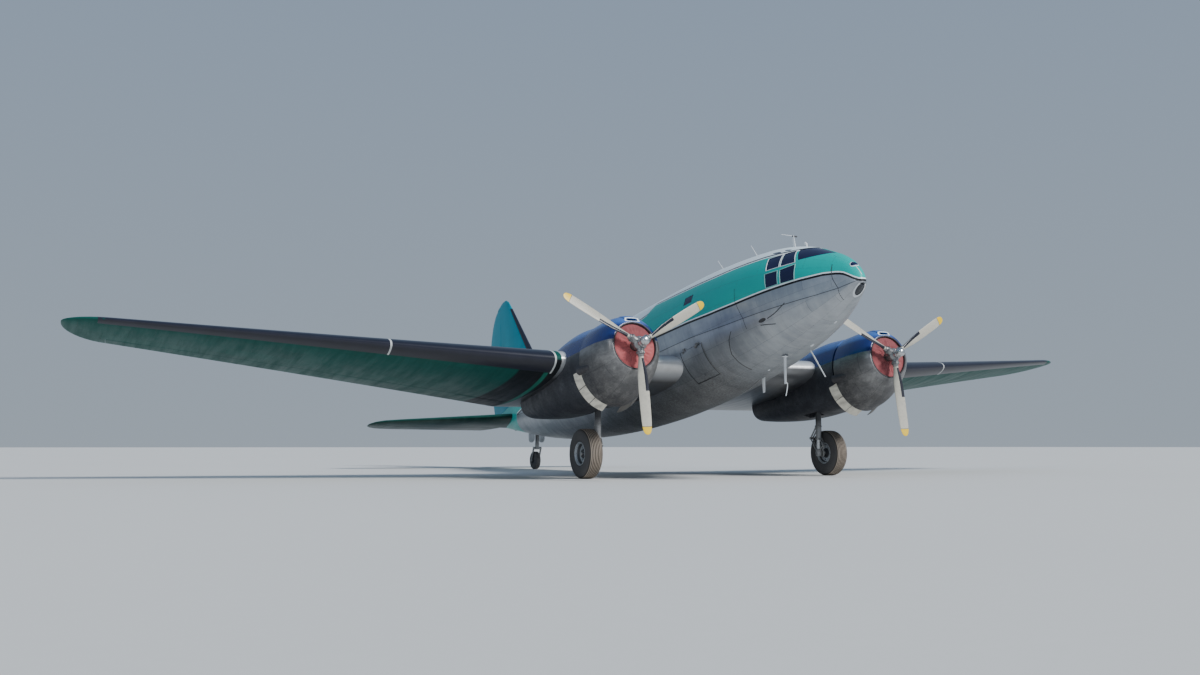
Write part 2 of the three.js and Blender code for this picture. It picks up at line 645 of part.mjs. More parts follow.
// Propeller blade sections: radius, chord, thickness, pitch in degrees.
const BLADE = [
  [120, 120, 110, 70],
  [420, 150, 95, 55],
  [800, 290, 62, 38],
  [1300, 330, 38, 27],
  [1800, 310, 24, 20],
  [2080, 250, 16, 17],
  [2200, 150, 11, 16],
  [BLADE_RADIUS, 50, 8, 16],
];
const BLADE_ANGLES = [-90, 30, 150];
const BLADE_STEPS = 8;
function propellerBlade(angle, x) {
  const place = new THREE.Matrix4().makeTranslation(x, BLADE_PLANE, THRUST_HEIGHT)
    .multiply(new THREE.Matrix4().makeRotationY(THREE.MathUtils.degToRad(90 - angle)));
  return loft(BLADE.map(([radius, chord, thick, pitch]) => {
    const turn = THREE.MathUtils.degToRad(pitch);
    return Array.from({ length: BLADE_STEPS }, (_, i) => {
      const t = (2 * Math.PI * i) / BLADE_STEPS;
      const along = (chord / 2) * Math.cos(t);
      const out = (thick / 2) * Math.sin(t);
      return point(along * Math.cos(turn) - out * Math.sin(turn),
        along * Math.sin(turn) + out * Math.cos(turn), radius).applyMatrix4(place);
    });
  }));
}

// The ground frame and the body frame, for the legs that reach from one into the other.
const bodyToGround = new THREE.Matrix4().makeTranslation(0, NOSE_Y, NOSE_HEIGHT)
  .multiply(new THREE.Matrix4().makeRotationX(-GROUND_ANGLE));
const groundToBody = bodyToGround.clone().invert();
const ground = (x, y, z) => point(x, y, z).applyMatrix4(groundToBody);
function groundBox(x0, x1, y0, y1, z0, z1) {
  const geometry = new THREE.BoxGeometry(Math.abs(x1 - x0), y1 - y0, z1 - z0);
  geometry.translate((x0 + x1) / 2, (y0 + y1) / 2, (z0 + z1) / 2);
  geometry.applyMatrix4(groundToBody);
  return solid(geometry);
}

const AXLE_HEIGHT = TYRE_RADIUS * Math.cos(Math.PI / TYRE_STEPS);
const LEG_TOP = 2150;

for (const [side, sign] of Object.entries(SIDES)) {
  const x = sign * ENGINE_X;
  const legX = sign * LEG_X;

  // Cowling: a hollow shell with a round lip, seated by an inner ring on the cylinders.
  const lip = turned([
    [COWL_FRONT + 60, COWL_MOUTH], [COWL_FRONT - 20, COWL_MOUTH + 18],
    [COWL_FRONT - 20, COWL_MOUTH + 34], [COWL_FRONT + 60, COWL_MOUTH + 60],
    [COWL_FRONT + 60, COWL_MOUTH]], x, THRUST_HEIGHT, OVAL_STEPS);
  const outer = loft(COWLING.map((row) => ovalRing(row, x, 0)));
  const inside = loft([[COWL_FRONT + 160, ...COWLING[2].slice(1)], ...COWLING.slice(3),
    [COWL_REAR + 50, ...COWLING[5].slice(1)]].map((row) => ovalRing(row, x, COWL_WALL)));
  const ring = outer.intersect(box(x - 1200, x + 1200, 4680, 4780, -2400, 600));
  const mouth = turned([[COWL_FRONT - 50, 0], [COWL_FRONT - 50, COWL_MOUTH],
    [COWL_FRONT + 300, COWL_MOUTH], [COWL_FRONT + 300, 0]], x, THRUST_HEIGHT, OVAL_STEPS);
  const bore = turned([[4520, 0], [4520, ENGINE_RADIUS + FIT], [5420, ENGINE_RADIUS + FIT],
    [5420, 0]], x, THRUST_HEIGHT, OVAL_STEPS);
  const scoop = loft([[4095, -115], [4200, -48], [4400, 18], [4640, 34]].map(([y, top]) => [
    point(x - 180, y, -260), point(x + 180, y, -260),
    point(x + 150, y, top), point(x - 150, y, top)]));
  const throat = box(x - 125, x + 125, 4000, 4360, -196, -138);
  const stubs = [1, -1].map((way) =>
    bar(point(x + way * 850, 4930, -1190), point(x + way * 925, COWL_REAR, -1200), 80, 95));
  add(nodes, "cowling_" + side, outer.add(lip).subtract(inside).add(ring)
    .add(scoop.subtract(inside)).subtract(throat).subtract(mouth).subtract(bore)
    .add(stubs[0].subtract(inside)).add(stubs[1].subtract(inside))
    .subtract(box(x - 1200, x + 1200, COWL_REAR, COWL_REAR + 100, -2400, 600)), BARE);

  add(nodes, "engine_" + side, turned([
    [COWL_FRONT + 80, 0], [COWL_FRONT + 80, 230], [COWL_FRONT + 180, 330],
    [4420, 360], [4420, ENGINE_RADIUS], [ENGINE_REAR, ENGINE_RADIUS],
    [ENGINE_REAR, 420], [FIREWALL - FIT, 420], [FIREWALL - FIT, 0]],
    x, THRUST_HEIGHT, OVAL_STEPS), STEEL);

  // Cowl flaps: a ring of gills behind the cowling, standing open at the bottom.
  const gill = (y, spread) => [y, 48, -2095 - spread, 940 + spread * 0.6];
  const gills = loft([[COWL_REAR + FIT, 0], [COWL_REAR + 270, 105]].map(
    ([y, spread]) => ovalRing(gill(y, spread), x, 0)));
  const gillsInside = loft([[COWL_REAR - 50, -15], [COWL_REAR + 320, 120]].map(
    ([y, spread]) => ovalRing(gill(y, spread), x, 22)));
  add(nodes, "cowl_flaps_" + side, gills.subtract(gillsInside)
    .subtract(box(x - 1200, x + 1200, 5100, 5800, -785, 600)), CREAM);

  add(nodes, "intake_cover_" + side, turned([
    [COWL_FRONT + 76, 150], [COWL_FRONT + 76, COWL_MOUTH - FIT], [COWL_FRONT + 20, COWL_MOUTH - FIT],
    [COWL_FRONT + 20, 150], [COWL_FRONT + 76, 150]], x, THRUST_HEIGHT, OVAL_STEPS), RED);

  const hub = turned([
    [BLADE_PLANE - 370, 0], [BLADE_PLANE - 364, 55], [BLADE_PLANE - 330, 100],
    [BLADE_PLANE - 280, 116], [BLADE_PLANE - 110, 120], [BLADE_PLANE - 70, 185],
    [BLADE_PLANE + 90, 185], [BLADE_PLANE + 140, 110], [COWL_FRONT + 80 - FIT, 110],
    [COWL_FRONT + 80 - FIT, 0]], x, THRUST_HEIGHT, 16);
  const propeller = BLADE_ANGLES.reduce((sum, angle) => sum.add(propellerBlade(angle, x)), hub);
  add(nodes, "propeller_" + side, propeller, CREAM);

  // Main leg: one strut inboard of its wheel, with the axle and the folding link behind.
  const leg = bar(ground(legX, 0, AXLE_HEIGHT), ground(legX, 0, 1150), 62)
    .add(bar(ground(legX, 0, 1050), ground(legX, 0, LEG_TOP - FIT), LEG_RADIUS))
    .add(bar(ground(sign * (LEG_X - 90), 0, AXLE_HEIGHT),
      ground(sign * (WHEEL_X + 70), 0, AXLE_HEIGHT), AXLE_RADIUS, AXLE_RADIUS, 18))
    .add(bar(ground(legX, 40, AXLE_HEIGHT), ground(legX, 330, 1080), 38))
    .add(bar(ground(legX, 330, 1080), ground(legX, 60, 1420), 38))
    .add(bar(ground(sign * (LEG_X - 60), 330, 1080), ground(sign * (LEG_X + 60), 330, 1080), 50));
  add(nodes, "main_leg_" + side, leg, STEEL);

  const well = groundBox(sign * (LEG_X - 150), sign * (LEG_X + 140), -130, 520, 1300, LEG_TOP);
  add(nodes, "nacelle_" + side, loft(NACELLE.map((row) => ovalRing(row, x, 0, 0.72)))
    .subtract(wingRoom(sign * 2900, sign * 5100)).subtract(well), BARE);
}

// Wheels, turned about their axles: profile rows are shares of width and of radius.
const TYRE_PROFILE = [
  [-0.42, 0.47], [-0.5, 0.62], [-0.5, 0.8], [-0.42, 0.93], [-0.22, 1], [0.22, 1],
  [0.42, 0.93], [0.5, 0.8], [0.5, 0.62], [0.42, 0.47], [-0.42, 0.47],
];
function wheelTurned(profile, x, y, z, steps) {
  const geometry = new THREE.LatheGeometry(
    profile.map(([across, radius]) => new THREE.Vector2(radius, across)), steps);
  geometry.rotateZ(-Math.PI / 2);
  geometry.rotateX(Math.PI / steps);
  geometry.translate(x, y, z);
  return solid(geometry);
}
function tyreShape(radius, width, bead, x, y, z, steps) {
  return wheelTurned(TYRE_PROFILE.map(([across, out], i) =>
    [across * width, out === 0.47 ? bead : out * radius]), x, y, z, steps);
}
for (const [side, sign] of Object.entries(SIDES)) {
  const x = sign * WHEEL_X;
  add(onGround, "main_tyre_" + side, tyreShape(TYRE_RADIUS, TYRE_WIDTH, BEAD_RADIUS,
    x, 0, AXLE_HEIGHT, TYRE_STEPS), RUBBER);
  const seat = BEAD_RADIUS - FIT;
  const bore = AXLE_RADIUS + FIT * 2;
  add(onGround, "main_wheel_" + side, wheelTurned([
    [130, 0], [130, 70], [105, 110], [50, 130], [50, 235], [165, 282], [184, 285], [184, seat],
    [-184, seat], [-184, 285], [-100, 250], [-100, 120], [-150, 100], [-150, bore],
    [80, bore], [80, 0]].map(([across, radius]) => [sign * across, radius]),
    x, 0, AXLE_HEIGHT, TYRE_STEPS), STEEL);
}

// Tail wheel: a fixed leg, a fork that swivels below it, and the wheel in the fork.
const TAIL_STEPS = 24;
const TAIL_AXLE_HEIGHT = TAIL_TYRE_RADIUS * Math.cos(Math.PI / TAIL_STEPS);
const TAIL_LEG_TOP = 1560;
const FORK_TOP = 960;
const TAIL_PIN = 20;
const tailBore = TAIL_PIN + FIT * 1.5;
add(onGround, "tail_tyre", tyreShape(TAIL_TYRE_RADIUS, TAIL_TYRE_WIDTH, TAIL_BEAD_RADIUS,
  0, TAIL_AXLE_Y, TAIL_AXLE_HEIGHT, TAIL_STEPS), RUBBER);
add(onGround, "tail_wheel", wheelTurned([
  [-88, tailBore], [-88, TAIL_BEAD_RADIUS - FIT], [88, TAIL_BEAD_RADIUS - FIT], [88, tailBore],
  [-88, tailBore]], 0, TAIL_AXLE_Y, TAIL_AXLE_HEIGHT, TAIL_STEPS), STEEL);
const forkArms = [1, -1].map((sign) =>
  bar(ground(sign * 145, TAIL_SWIVEL_Y - 10, 770), ground(sign * 145, TAIL_AXLE_Y, TAIL_AXLE_HEIGHT), 34));
add(nodes, "tail_fork", bar(ground(0, TAIL_SWIVEL_Y, 740), ground(0, TAIL_SWIVEL_Y, FORK_TOP), 78)
  .add(bar(ground(-165, TAIL_SWIVEL_Y - 10, 775), ground(165, TAIL_SWIVEL_Y - 10, 775), 48))
  .add(forkArms[0]).add(forkArms[1])
  .add(bar(ground(-175, TAIL_AXLE_Y, TAIL_AXLE_HEIGHT),
    ground(175, TAIL_AXLE_Y, TAIL_AXLE_HEIGHT), TAIL_PIN)), STEEL);
add(nodes, "tail_leg", bar(ground(0, TAIL_SWIVEL_Y, FORK_TOP + FIT),
  ground(0, TAIL_SWIVEL_Y, TAIL_LEG_TOP - FIT), 70), STEEL);

// Tail cone, solid, with the well of the tail wheel and its two open doors.
const tailWell = groundBox(-190, 190, TAIL_SWIVEL_Y - 230, TAIL_SWIVEL_Y + 330, 800, TAIL_LEG_TOP);
const tailDoor = (sign) => groundBox(sign * 194, sign * 214,
  TAIL_SWIVEL_Y - 220, TAIL_SWIVEL_Y + 320, 985, 1400);
add(nodes, "tail_cone", tailCone.subtract(tailWell).add(tailDoor(1)).add(tailDoor(-1))
  .subtract(torqueTube(1, boreFor(TUBE_RADIUS))).subtract(torqueTube(-1, boreFor(TUBE_RADIUS)))
  .subtract(rudderPin(boreFor(TUBE_RADIUS), 1110)), BARE);

// Small fittings on the nose section.
add(nodes, "roof_mast", loft([[1350, 60, 26], [1790, 30, 12]].map(([z, along, across]) => [
  point(-across, 2450 - along, z), point(across, 2450 - along, z),
  point(across, 2450 + along, z), point(-across, 2450 + along, z)]))
  .subtract(noseOuter(-FIT)), CREAM);

const tip = new THREE.Group();
tip.add(nodes);
tip.rotation.x = -GROUND_ANGLE;
tip.position.set(0, NOSE_Y, NOSE_HEIGHT);
const aeroplane = new THREE.Group();
aeroplane.add(tip, onGround);

// The origin is on the ground below the middle of the whole box.
aeroplane.position.y = -new THREE.Box3().setFromObject(aeroplane, true).getCenter(point(0, 0, 0)).y;
export default aeroplane;
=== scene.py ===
import math

import bmesh
import bpy
from mathutils import Matrix, Vector


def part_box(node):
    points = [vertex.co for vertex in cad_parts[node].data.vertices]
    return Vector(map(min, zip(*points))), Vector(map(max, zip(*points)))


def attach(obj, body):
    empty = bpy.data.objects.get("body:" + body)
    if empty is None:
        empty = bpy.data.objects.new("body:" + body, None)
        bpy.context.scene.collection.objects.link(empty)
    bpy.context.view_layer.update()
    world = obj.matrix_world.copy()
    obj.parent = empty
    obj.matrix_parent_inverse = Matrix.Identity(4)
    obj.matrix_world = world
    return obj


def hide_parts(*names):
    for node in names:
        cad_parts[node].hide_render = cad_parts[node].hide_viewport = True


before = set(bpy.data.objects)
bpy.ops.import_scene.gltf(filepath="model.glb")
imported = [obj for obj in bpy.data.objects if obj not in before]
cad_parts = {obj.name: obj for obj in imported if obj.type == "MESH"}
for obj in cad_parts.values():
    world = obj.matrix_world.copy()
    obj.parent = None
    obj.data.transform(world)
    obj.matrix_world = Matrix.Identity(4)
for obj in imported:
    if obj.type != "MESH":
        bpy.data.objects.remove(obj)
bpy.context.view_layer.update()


# Studio
# A pale matt floor that runs out of sight, a soft overcast light from above and in front, and
# the camera low on the apron at the photograph's place, a little to the plane's right.
axle = sum(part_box("main_wheel_port"), Vector()) / 2
CAMERA_PLACE = Vector((-17.390, axle.y - 27.473, 0.856))
CAMERA_YAW, CAMERA_PITCH = 0.46703, 0.09305
CAMERA_LENS = 34.857
SENSOR = 36
FLOOR_REACH = 700
FLOOR_COLOUR, FLOOR_SHADE, FLOOR_SPECK = (0.64, 0.64, 0.62), (0.56, 0.56, 0.545), (0.5, 0.5, 0.49)
SKY_LOW, SKY_HIGH = (0.66, 0.77, 0.90), (0.40, 0.58, 0.86)
SKY_FADE, SKY_STRENGTH = 0.7, 0.52
SUN_SPREAD = math.radians(14)
# Strength and direction of the light from the front left and of the weak one that fills the shade.
LIGHTS = {"main_light": (4.2, (-0.36, 0.74, -0.66)), "fill_light": (0.35, (0.7, 0.4, -0.35))}


def added(kind, *values, **settings):
    """A shader node in the tree of its inputs. Values fill its sockets in order; None skips one."""
    tree = next(value.id_data for value in values if isinstance(value, bpy.types.NodeSocket))
    made = tree.nodes.new("ShaderNode" + kind)
    for name, value in settings.items():
        setattr(made, name, value)
    for socket, value in zip(made.inputs, values):
        feed(socket, value)
    return made


def wire(kind, *values, out=0, **settings):
    """What comes out of a new shader node."""
    return added(kind, *values, **settings).outputs[out]


def feed(socket, value):
    """Links or sets a socket; colours are given without their alpha."""
    if isinstance(value, bpy.types.NodeSocket):
        socket.id_data.links.new(value, socket)
    elif value is not None:
        socket.default_value = (*value, 1) if socket.type == "RGBA" else value


def sum_of(first, second):
    return wire("Math", first, second, operation="ADD")


def times(first, second):
    return wire("Math", first, second, operation="MULTIPLY")


def ramp(value, start, end, low=0.0, high=1.0):
    """Low where the value is at its start, high at its end, and straight between."""
    return wire("MapRange", value, start, end, low, high)


def past(value, edge, soft=0.004):
    """0 below the edge and 1 above it, over a short soft width."""
    return ramp(value, edge - soft, edge + soft)


def over(share, below, above):
    """The colour above laid over the colour below by a share from 0 to 1."""
    return wire("Mix", share, *[None] * 5, below, above, out=2, data_type="RGBA")


def between(share, low, high):
    return ramp(share, 0.0, 1.0, low, high)


def axes(place):
    """The three coordinates of a place."""
    return added("SeparateXYZ", place).outputs


def size_of(value):
    return wire("Math", value, operation="ABSOLUTE")


def stretched(place, *scale):
    """The place with each axis scaled, so that noise on it runs in streaks."""
    return wire("Mapping", place, None, None, scale)


def noise(place, scale, detail=3.0, roughness=0.55):
    return wire("TexNoise", place, None, scale, detail, roughness)


def new_finish(name):
    """An empty material, and the place on the piece in metres."""
    material = bpy.data.materials.new(name)
    material.use_nodes = True
    return material, material.node_tree.nodes.new("ShaderNodeTexCoord").outputs["Object"]


def finished(material, colour, rough, height=None, relief=(0.001, 1.0), metallic=0.0, specular=0.5,
             sheen=0.0):
    """Wires up a finish. The relief is the depth of the height in metres and its strength."""
    nodes = material.node_tree.nodes
    shader = next(n for n in nodes if n.type == "BSDF_PRINCIPLED")
    for socket, value in (("Base Color", colour), ("Roughness", rough), ("Metallic", metallic),
                          ("Specular IOR Level", specular), ("Sheen Weight", sheen)):
        feed(shader.inputs[socket], value)
    if height is not None:
        bump = nodes.new("ShaderNodeBump")
        bump.inputs["Distance"].default_value, bump.inputs["Strength"].default_value = relief
        feed(bump.inputs["Height"], height)
        feed(shader.inputs["Normal"], bump.outputs[0])
    return material


def coat(name, light, shade, cloud, grain, rough, relief, spots=None, metallic=0.0,
         rough_grain=False, even_relief=False, then=None):
    """A plain finish: two tones in clouds, spots of a third, and a fine relief.

    Cloud and grain are settings of the noise. Spots are an edge, its softness, a share and a
    colour, and then is what still goes over the colour. The grain makes the relief and the cloud
    the roughness, unless the two switches say otherwise.
    """
    material, place = new_finish(name)
    clouds, grains = [noise(place, *settings) for settings in (cloud, grain)]
    colour = over(clouds, light, shade)
    if spots:
        edge, soft, share, tone = spots
        colour = over(times(past(grains, edge, soft), share), colour, tone)
    if then:
        colour = then(place, colour)
    return finished(material, colour, between(grains if rough_grain else clouds, *rough),
                    clouds if even_relief else grains, relief, metallic)


def raw(shape):
    """A mesh as a piece of the scene, or the piece itself where it is one already."""
    if isinstance(shape, bpy.types.Object):
        return shape
    piece = bpy.data.objects.new(shape.name, shape)
    bpy.context.scene.collection.objects.link(piece)
    return piece


def pale_floor():
    material, place = new_finish("studio_floor")
    tone = over(between(noise(place, 0.12, 4), 0.0, 0.35), FLOOR_COLOUR, FLOOR_SHADE)
    tone = over(times(noise(place, 6.0, 2), 0.12), tone, FLOOR_SPECK)
    mesh = bpy.data.meshes.new("studio_floor")
    mesh.from_pydata([(x * FLOOR_REACH, y * FLOOR_REACH, 0) for x, y in ((-1, -1), (1, -1), (1, 1), (-1, 1))],
                     [], [(0, 1, 2, 3)])
    mesh.materials.append(finished(material, tone, 0.85))
    return raw(mesh)


pale_floor()

world = bpy.data.worlds.new("soft_sky")
world.use_nodes = True
bpy.context.scene.world = world
sky = world.node_tree.nodes
sky_height = axes(sky.new("ShaderNodeTexCoord").outputs["Generated"])[2]
backdrop = next(n for n in sky if n.type == "BACKGROUND")
feed(backdrop.inputs[0], over(ramp(sky_height, 0.0, SKY_FADE), SKY_LOW, SKY_HIGH))
backdrop.inputs[1].default_value = SKY_STRENGTH


def aimed(thing, way):
    """Puts a lamp or a camera in the scene, facing a way."""
    thing.rotation_mode = "QUATERNION"
    thing.rotation_quaternion = Vector(way).to_track_quat("-Z", "Y")
    bpy.context.scene.collection.objects.link(thing)


for name, (strength, way) in LIGHTS.items():
    lamp = bpy.data.lights.new(name, "SUN")
    lamp.energy = strength
    lamp.angle = SUN_SPREAD
    aimed(bpy.data.objects.new(name, lamp), way)

camera_data = bpy.data.cameras.new("camera")
camera_data.lens = CAMERA_LENS
camera_data.sensor_width = SENSOR
camera_data.sensor_fit = "HORIZONTAL"
camera_data.clip_end = 2000
camera = bpy.data.objects.new("camera", camera_data)
camera.location = CAMERA_PLACE
aimed(camera, (math.sin(CAMERA_YAW) * math.cos(CAMERA_PITCH), math.cos(CAMERA_YAW) * math.cos(CAMERA_PITCH),
               math.sin(CAMERA_PITCH)))
bpy.context.scene.camera = camera


# Fuselage skins
# Two round lobes of riveted light-alloy sheet that meet in a crease, lapped over frames. The top
# is painted white, a teal band with thin lines runs along the side, and the rest is bare metal.
GROUND_ANGLE = math.radians(10)
NOSE_TO_AXLE, NOSE_HEIGHT = 6.530, 4.810
WALL = 0.080
NOSE_TIP, JOINT_NOSE, JOINT_REAR, JOINT_TAIL, FUSELAGE_END = 0.065, 3.900, 12.900, 18.700, 23.050
FIT, MERGE = 0.0004, 1e-6
LOBE_STEPS = 44
# How far the rings crowd toward the nose, and the length of nose that isn't hollow.
NOSE_CROWD, NOSE_SOLID = 1.8, 0.09
# Aft of the nose, top, bottom, centre and half width of the upper lobe, height of the crease.
STATIONS = [
    (0.065, -0.060, -0.180, -0.120, 0.060, -0.120),
    (0.125, 0.115, -0.240, -0.097, 0.132, -0.134),
    (0.265, 0.335, -0.340, -0.057, 0.236, -0.160),
    (0.560, 0.613, -0.495, 0.000, 0.391, -0.205),
    (1.050, 0.910, -0.670, 0.055, 0.641, -0.230),
    (1.740, 1.245, -0.886, 0.120, 0.928, -0.236),
    (2.670, 1.517, -1.103, 0.198, 1.183, -0.227),
    (3.900, 1.680, -1.323, 0.272, 1.375, -0.208),
    (5.500, 1.800, -1.529, 0.316, 1.482, -0.143),
    (8.000, 1.861, -1.650, 0.326, 1.511, -0.107),
    (10.500, 1.859, -1.591, 0.328, 1.514, -0.091),
    (12.900, 1.826, -1.401, 0.351, 1.451, -0.017),
    (15.300, 1.735, -1.080, 0.430, 1.265, 0.110),
    (17.200, 1.625, -0.700, 0.500, 1.010, 0.290),
    (18.700, 1.520, -0.330, 0.560, 0.780, 0.470),
    (20.300, 1.390, 0.110, 0.640, 0.540, 0.640),
    (21.800, 1.230, 0.530, 0.790, 0.300, 0.790),
    (22.700, 1.110, 0.770, 0.900, 0.150, 0.900),
    (23.050, 1.030, 0.880, 0.950, 0.070, 0.950),
]
# Middle of the black line under the teal band, and of the one over it: aft, height.
LOWER_LINE = [(0.0, -0.13), (0.11, -0.11), (0.25, 0.005), (0.35, 0.09), (0.51, 0.16), (0.84, 0.213),
              (1.4, 0.23), (2.5, 0.222), (3.5, 0.205), (4.5, 0.222), (5.5, 0.265), (7.0, 0.305),
              (12.0, 0.41), (18.0, 0.62), (19.2, 0.55), (19.75, -0.60), (24.0, -0.70)]
UPPER_LINE = [(0.0, 1.13), (1.5, 1.13), (1.95, 1.165), (2.7, 1.235), (3.8, 1.285), (4.7, 1.30),
              (5.9, 1.355), (7.0, 1.435), (7.80, 1.487), (7.88, 1.33), (7.98, 1.21), (8.5, 1.13),
              (12.0, 1.12), (15.6, 1.16), (16.6, 1.45), (17.4, 1.90), (24.0, 1.95)]
CREASE_LINE = [(0.0, -0.115)] + [(row[0], row[5]) for row in STATIONS] + [(24.0, 0.97)]
LINE_SPAN, LINE_HEIGHTS = 24.0, (-1.0, 2.0)
TEAL, TEAL_SHADE = (0.0, 0.42, 0.37), (0.0, 0.31, 0.285)
# The roof's white is tinted cyan, a painted reflection of the sky.
WHITE, ROOF_PAINTED_SKY_TINT = (0.80, 0.86, 0.88), (0.60, 0.80, 0.88)
# The second black is painted shade in the hull's crease.
BLACK, PAINTED_SHADE_IN_CREASE = (0.012, 0.012, 0.014), (0.03, 0.03, 0.035)
SHEET_DARK, SHEET_LIGHT = (0.37, 0.40, 0.43), (0.47, 0.49, 0.51)
SHEET_BLOTCH, SHEET_STREAK = (0.22, 0.235, 0.26), (0.70, 0.71, 0.70)
# The darkest bare-sheet colour is soiling with painted shade in it; the last one is painted shade above the
# crease.
SOILING_AND_SHADE, SEAM_DIRT, PAINTED_SHADE_ABOVE_CREASE = (0.050, 0.046, 0.042), (0.06, 0.07, 0.07), (0.24, 0.30, 0.37)
PRIMER = (0.150, 0.180, 0.105)

UP, AFT, ACROSS = Vector((0, 0, 1)), Vector((0, 1, 0)), Vector((1, 0, 0))
SIDES = (("port", 1), ("starboard", -1))
tilt = (Matrix.Translation((0, axle.y - NOSE_TO_AXLE, NOSE_HEIGHT))
        @ Matrix.Rotation(-GROUND_ANGLE, 4, "X"))


def column(rows, key, at, warp=math.sqrt):
    """Smooth value of one column of a table at a station, cubic between the rows."""
    last = len(rows) - 1
    i = 0
    while i < last - 1 and at > rows[i + 1][0]:
        i += 1

    def slope(n):
        lo, hi = max(n - 1, 0), min(n + 1, last)
        return (rows[hi][key] - rows[lo][key]) / (warp(rows[hi][0]) - warp(rows[lo][0]))

    step = warp(rows[i + 1][0]) - warp(rows[i][0])
    t = min(max((warp(at) - warp(rows[i][0])) / step, 0), 1)
    return ((2 * t**3 - 3 * t**2 + 1) * rows[i][key] + (t**3 - 2 * t**2 + t) * step * slope(i)
            + (3 * t**2 - 2 * t**3) * rows[i + 1][key] + (t**3 - t**2) * step * slope(i + 1))


def hull_ring(aft, inset=0.0):
    """The hull's outline at a station: an upper and a lower lobe, drawn in by an inset."""
    top, bottom, centre, width, crease = [column(STATIONS, key, aft) for key in range(1, 6)]
    wide, high = width - inset, top - centre - inset
    meet = math.asin((crease - centre) / high)
    ring = []
    for middle, half, rise, start, end in [
            (centre, wide, high, meet, math.pi - meet),
            (crease, wide * math.cos(meet), crease - bottom - inset, math.pi, 2 * math.pi)]:
        for i in range(LOBE_STEPS):
            angle = start + (end - start) * i / LOBE_STEPS
            ring.append((half * math.cos(angle), aft, middle + rise * math.sin(angle)))
    return ring


def lofted(name, rings, ends=(True, True)):
    """A mesh through a row of rings, each ring a loop of the same number of points."""
    around = len(rings[0])
    faces = []
    for i in range(len(rings) - 1):
        for j in range(around):
            k = (j + 1) % around
            faces.append((i * around + j, i * around + k, (i + 1) * around + k, (i + 1) * around + j))
    for shut, ring in zip(ends, (0, len(rings) - 1)):
        if shut:
            faces.append(tuple(ring * around + j for j in range(around)))
    mesh = bpy.data.meshes.new(name)
    mesh.from_pydata([tuple(p) for ring in rings for p in ring], [], faces)
    facing_out(mesh)
    return mesh


def facing_out(mesh):
    work = bmesh.new()
    work.from_mesh(mesh)
    bmesh.ops.recalc_face_normals(work, faces=work.faces)
    work.to_mesh(mesh)
    work.free()


def spread(start, end, steps, power=1.0):
    return [start + (end - start) * (i / steps) ** power for i in range(steps + 1)]


def worked(piece, tool, how="DIFFERENCE", overlapping=False):
    """Cuts, joins or keeps what two shapes share, and drops the tool."""
    piece, tool = raw(piece), raw(tool)
    step = piece.modifiers.new("step", "BOOLEAN")
    step.operation = how
    step.use_self = overlapping
    step.object = tool
    step.solver = "EXACT"
    graph = bpy.context.evaluated_depsgraph_get()
    old, piece.data = piece.data, bpy.data.meshes.new_from_object(piece.evaluated_get(graph))
    piece.modifiers.clear()
    bpy.data.meshes.remove(old)
    drop(tool)
    return piece


def drop(piece):
    mesh = piece.data
    bpy.data.objects.remove(piece)
    bpy.data.meshes.remove(mesh)


def line_height(aft, points):
    """Height of a painted line at a place along the hull."""
    low, high = LINE_HEIGHTS
    made = added("FloatCurve", None, times(aft, 1 / LINE_SPAN))
    curve = made.mapping.curves[0]
    spots = [(a / LINE_SPAN, (h - low) / (high - low)) for a, h in points]
    curve.points[0].location = spots[0]
    curve.points[1].location = spots[-1]
    for spot in spots[1:-1]:
        curve.points.new(*spot)
    for spot in curve.points:
        spot.handle_type = "VECTOR"
    made.mapping.update()
    return between(made.outputs[0], low, high)


def near_grid(value, pitch):
    """Distance to the nearest of a row of lines at an even pitch."""
    return wire("Math", value, pitch / 2, operation="PINGPONG")


def rivets(along, across, pitch, rows, size=0.007):
    """Dots at an even pitch along rows that lie a set distance apart."""
    run = near_grid(along, pitch)
    side = near_grid(across, rows)
    far = sum_of(times(run, run), times(side, side))
    return ramp(far, size**2, (size * 0.4) ** 2)


def rivet_grid(along, across, first, second):
    """Rows of rivets both ways; first and second are the pitch and the distance of the rows."""
    return wire("Math", rivets(along, across, *first), rivets(across, along, *second),
                operation="MAXIMUM")


def less(first, second):
    return wire("Math", first, second, operation="SUBTRACT")


def facing(place, axis):
    """How far the surface faces along an axis."""
    return axes(place.id_data.nodes.new("ShaderNodeTexCoord").outputs["Normal"])[axis]


def on_the_plane(place):
    """The place on the aeroplane: x, distance aft of the nose, and height over its own axis."""
    back = tilt.inverted()
    return wire("Mapping", place, back.to_translation(), back.to_euler())


def sheets(along, across, long, wide, seam=0.003):
    """Lapped metal sheets: a tone for each sheet, and the seams between them."""
    bricks = added("TexBrick", wire("CombineXYZ", along, across, 0.0), (0, 0, 0), (1, 1, 1),
                   (0.5, 0.5, 0.5), 1.0, seam, 0.1, None, long, wide)
    return bricks.outputs


def worn_metal(place, tone, darkening):
    """Colour and roughness of bare sheet: a tone for each sheet, streaks, blotches, and soiling with painted
    shade in it where the sheet is darkened.
    """
    blotch = noise(place, 1.6, 5, 0.6)
    streak = noise(stretched(place, 0.8, 6.0, 0.8), 1.0, 4, 0.7)
    speck = noise(place, 22.0, 3, 0.7)
    colour = over(tone, SHEET_DARK, SHEET_LIGHT)
    colour = over(times(past(blotch, 0.5, 0.12), 0.48), colour, SHEET_BLOTCH)
    colour = over(times(past(streak, 0.55, 0.14), 0.20), colour, SHEET_STREAK)
    soiled_and_shaded = times(darkening, between(past(speck, 0.45, 0.25), 0.55, 1.0))
    colour = over(soiled_and_shaded, colour, SOILING_AND_SHADE)
    rough = sum_of(between(blotch, 0.26, 0.44), times(soiled_and_shaded, 0.3))
    return colour, rough, soiled_and_shaded


def sheet_relief(place, seam, dots, size, deep, sunk=-0.5):
    """Height of riveted sheet: shallow dents, sunk seams and raised rivet heads."""
    return sum_of(times(noise(place, size, 2), deep),
                  sum_of(times(seam, sunk), times(dots, 0.4)))


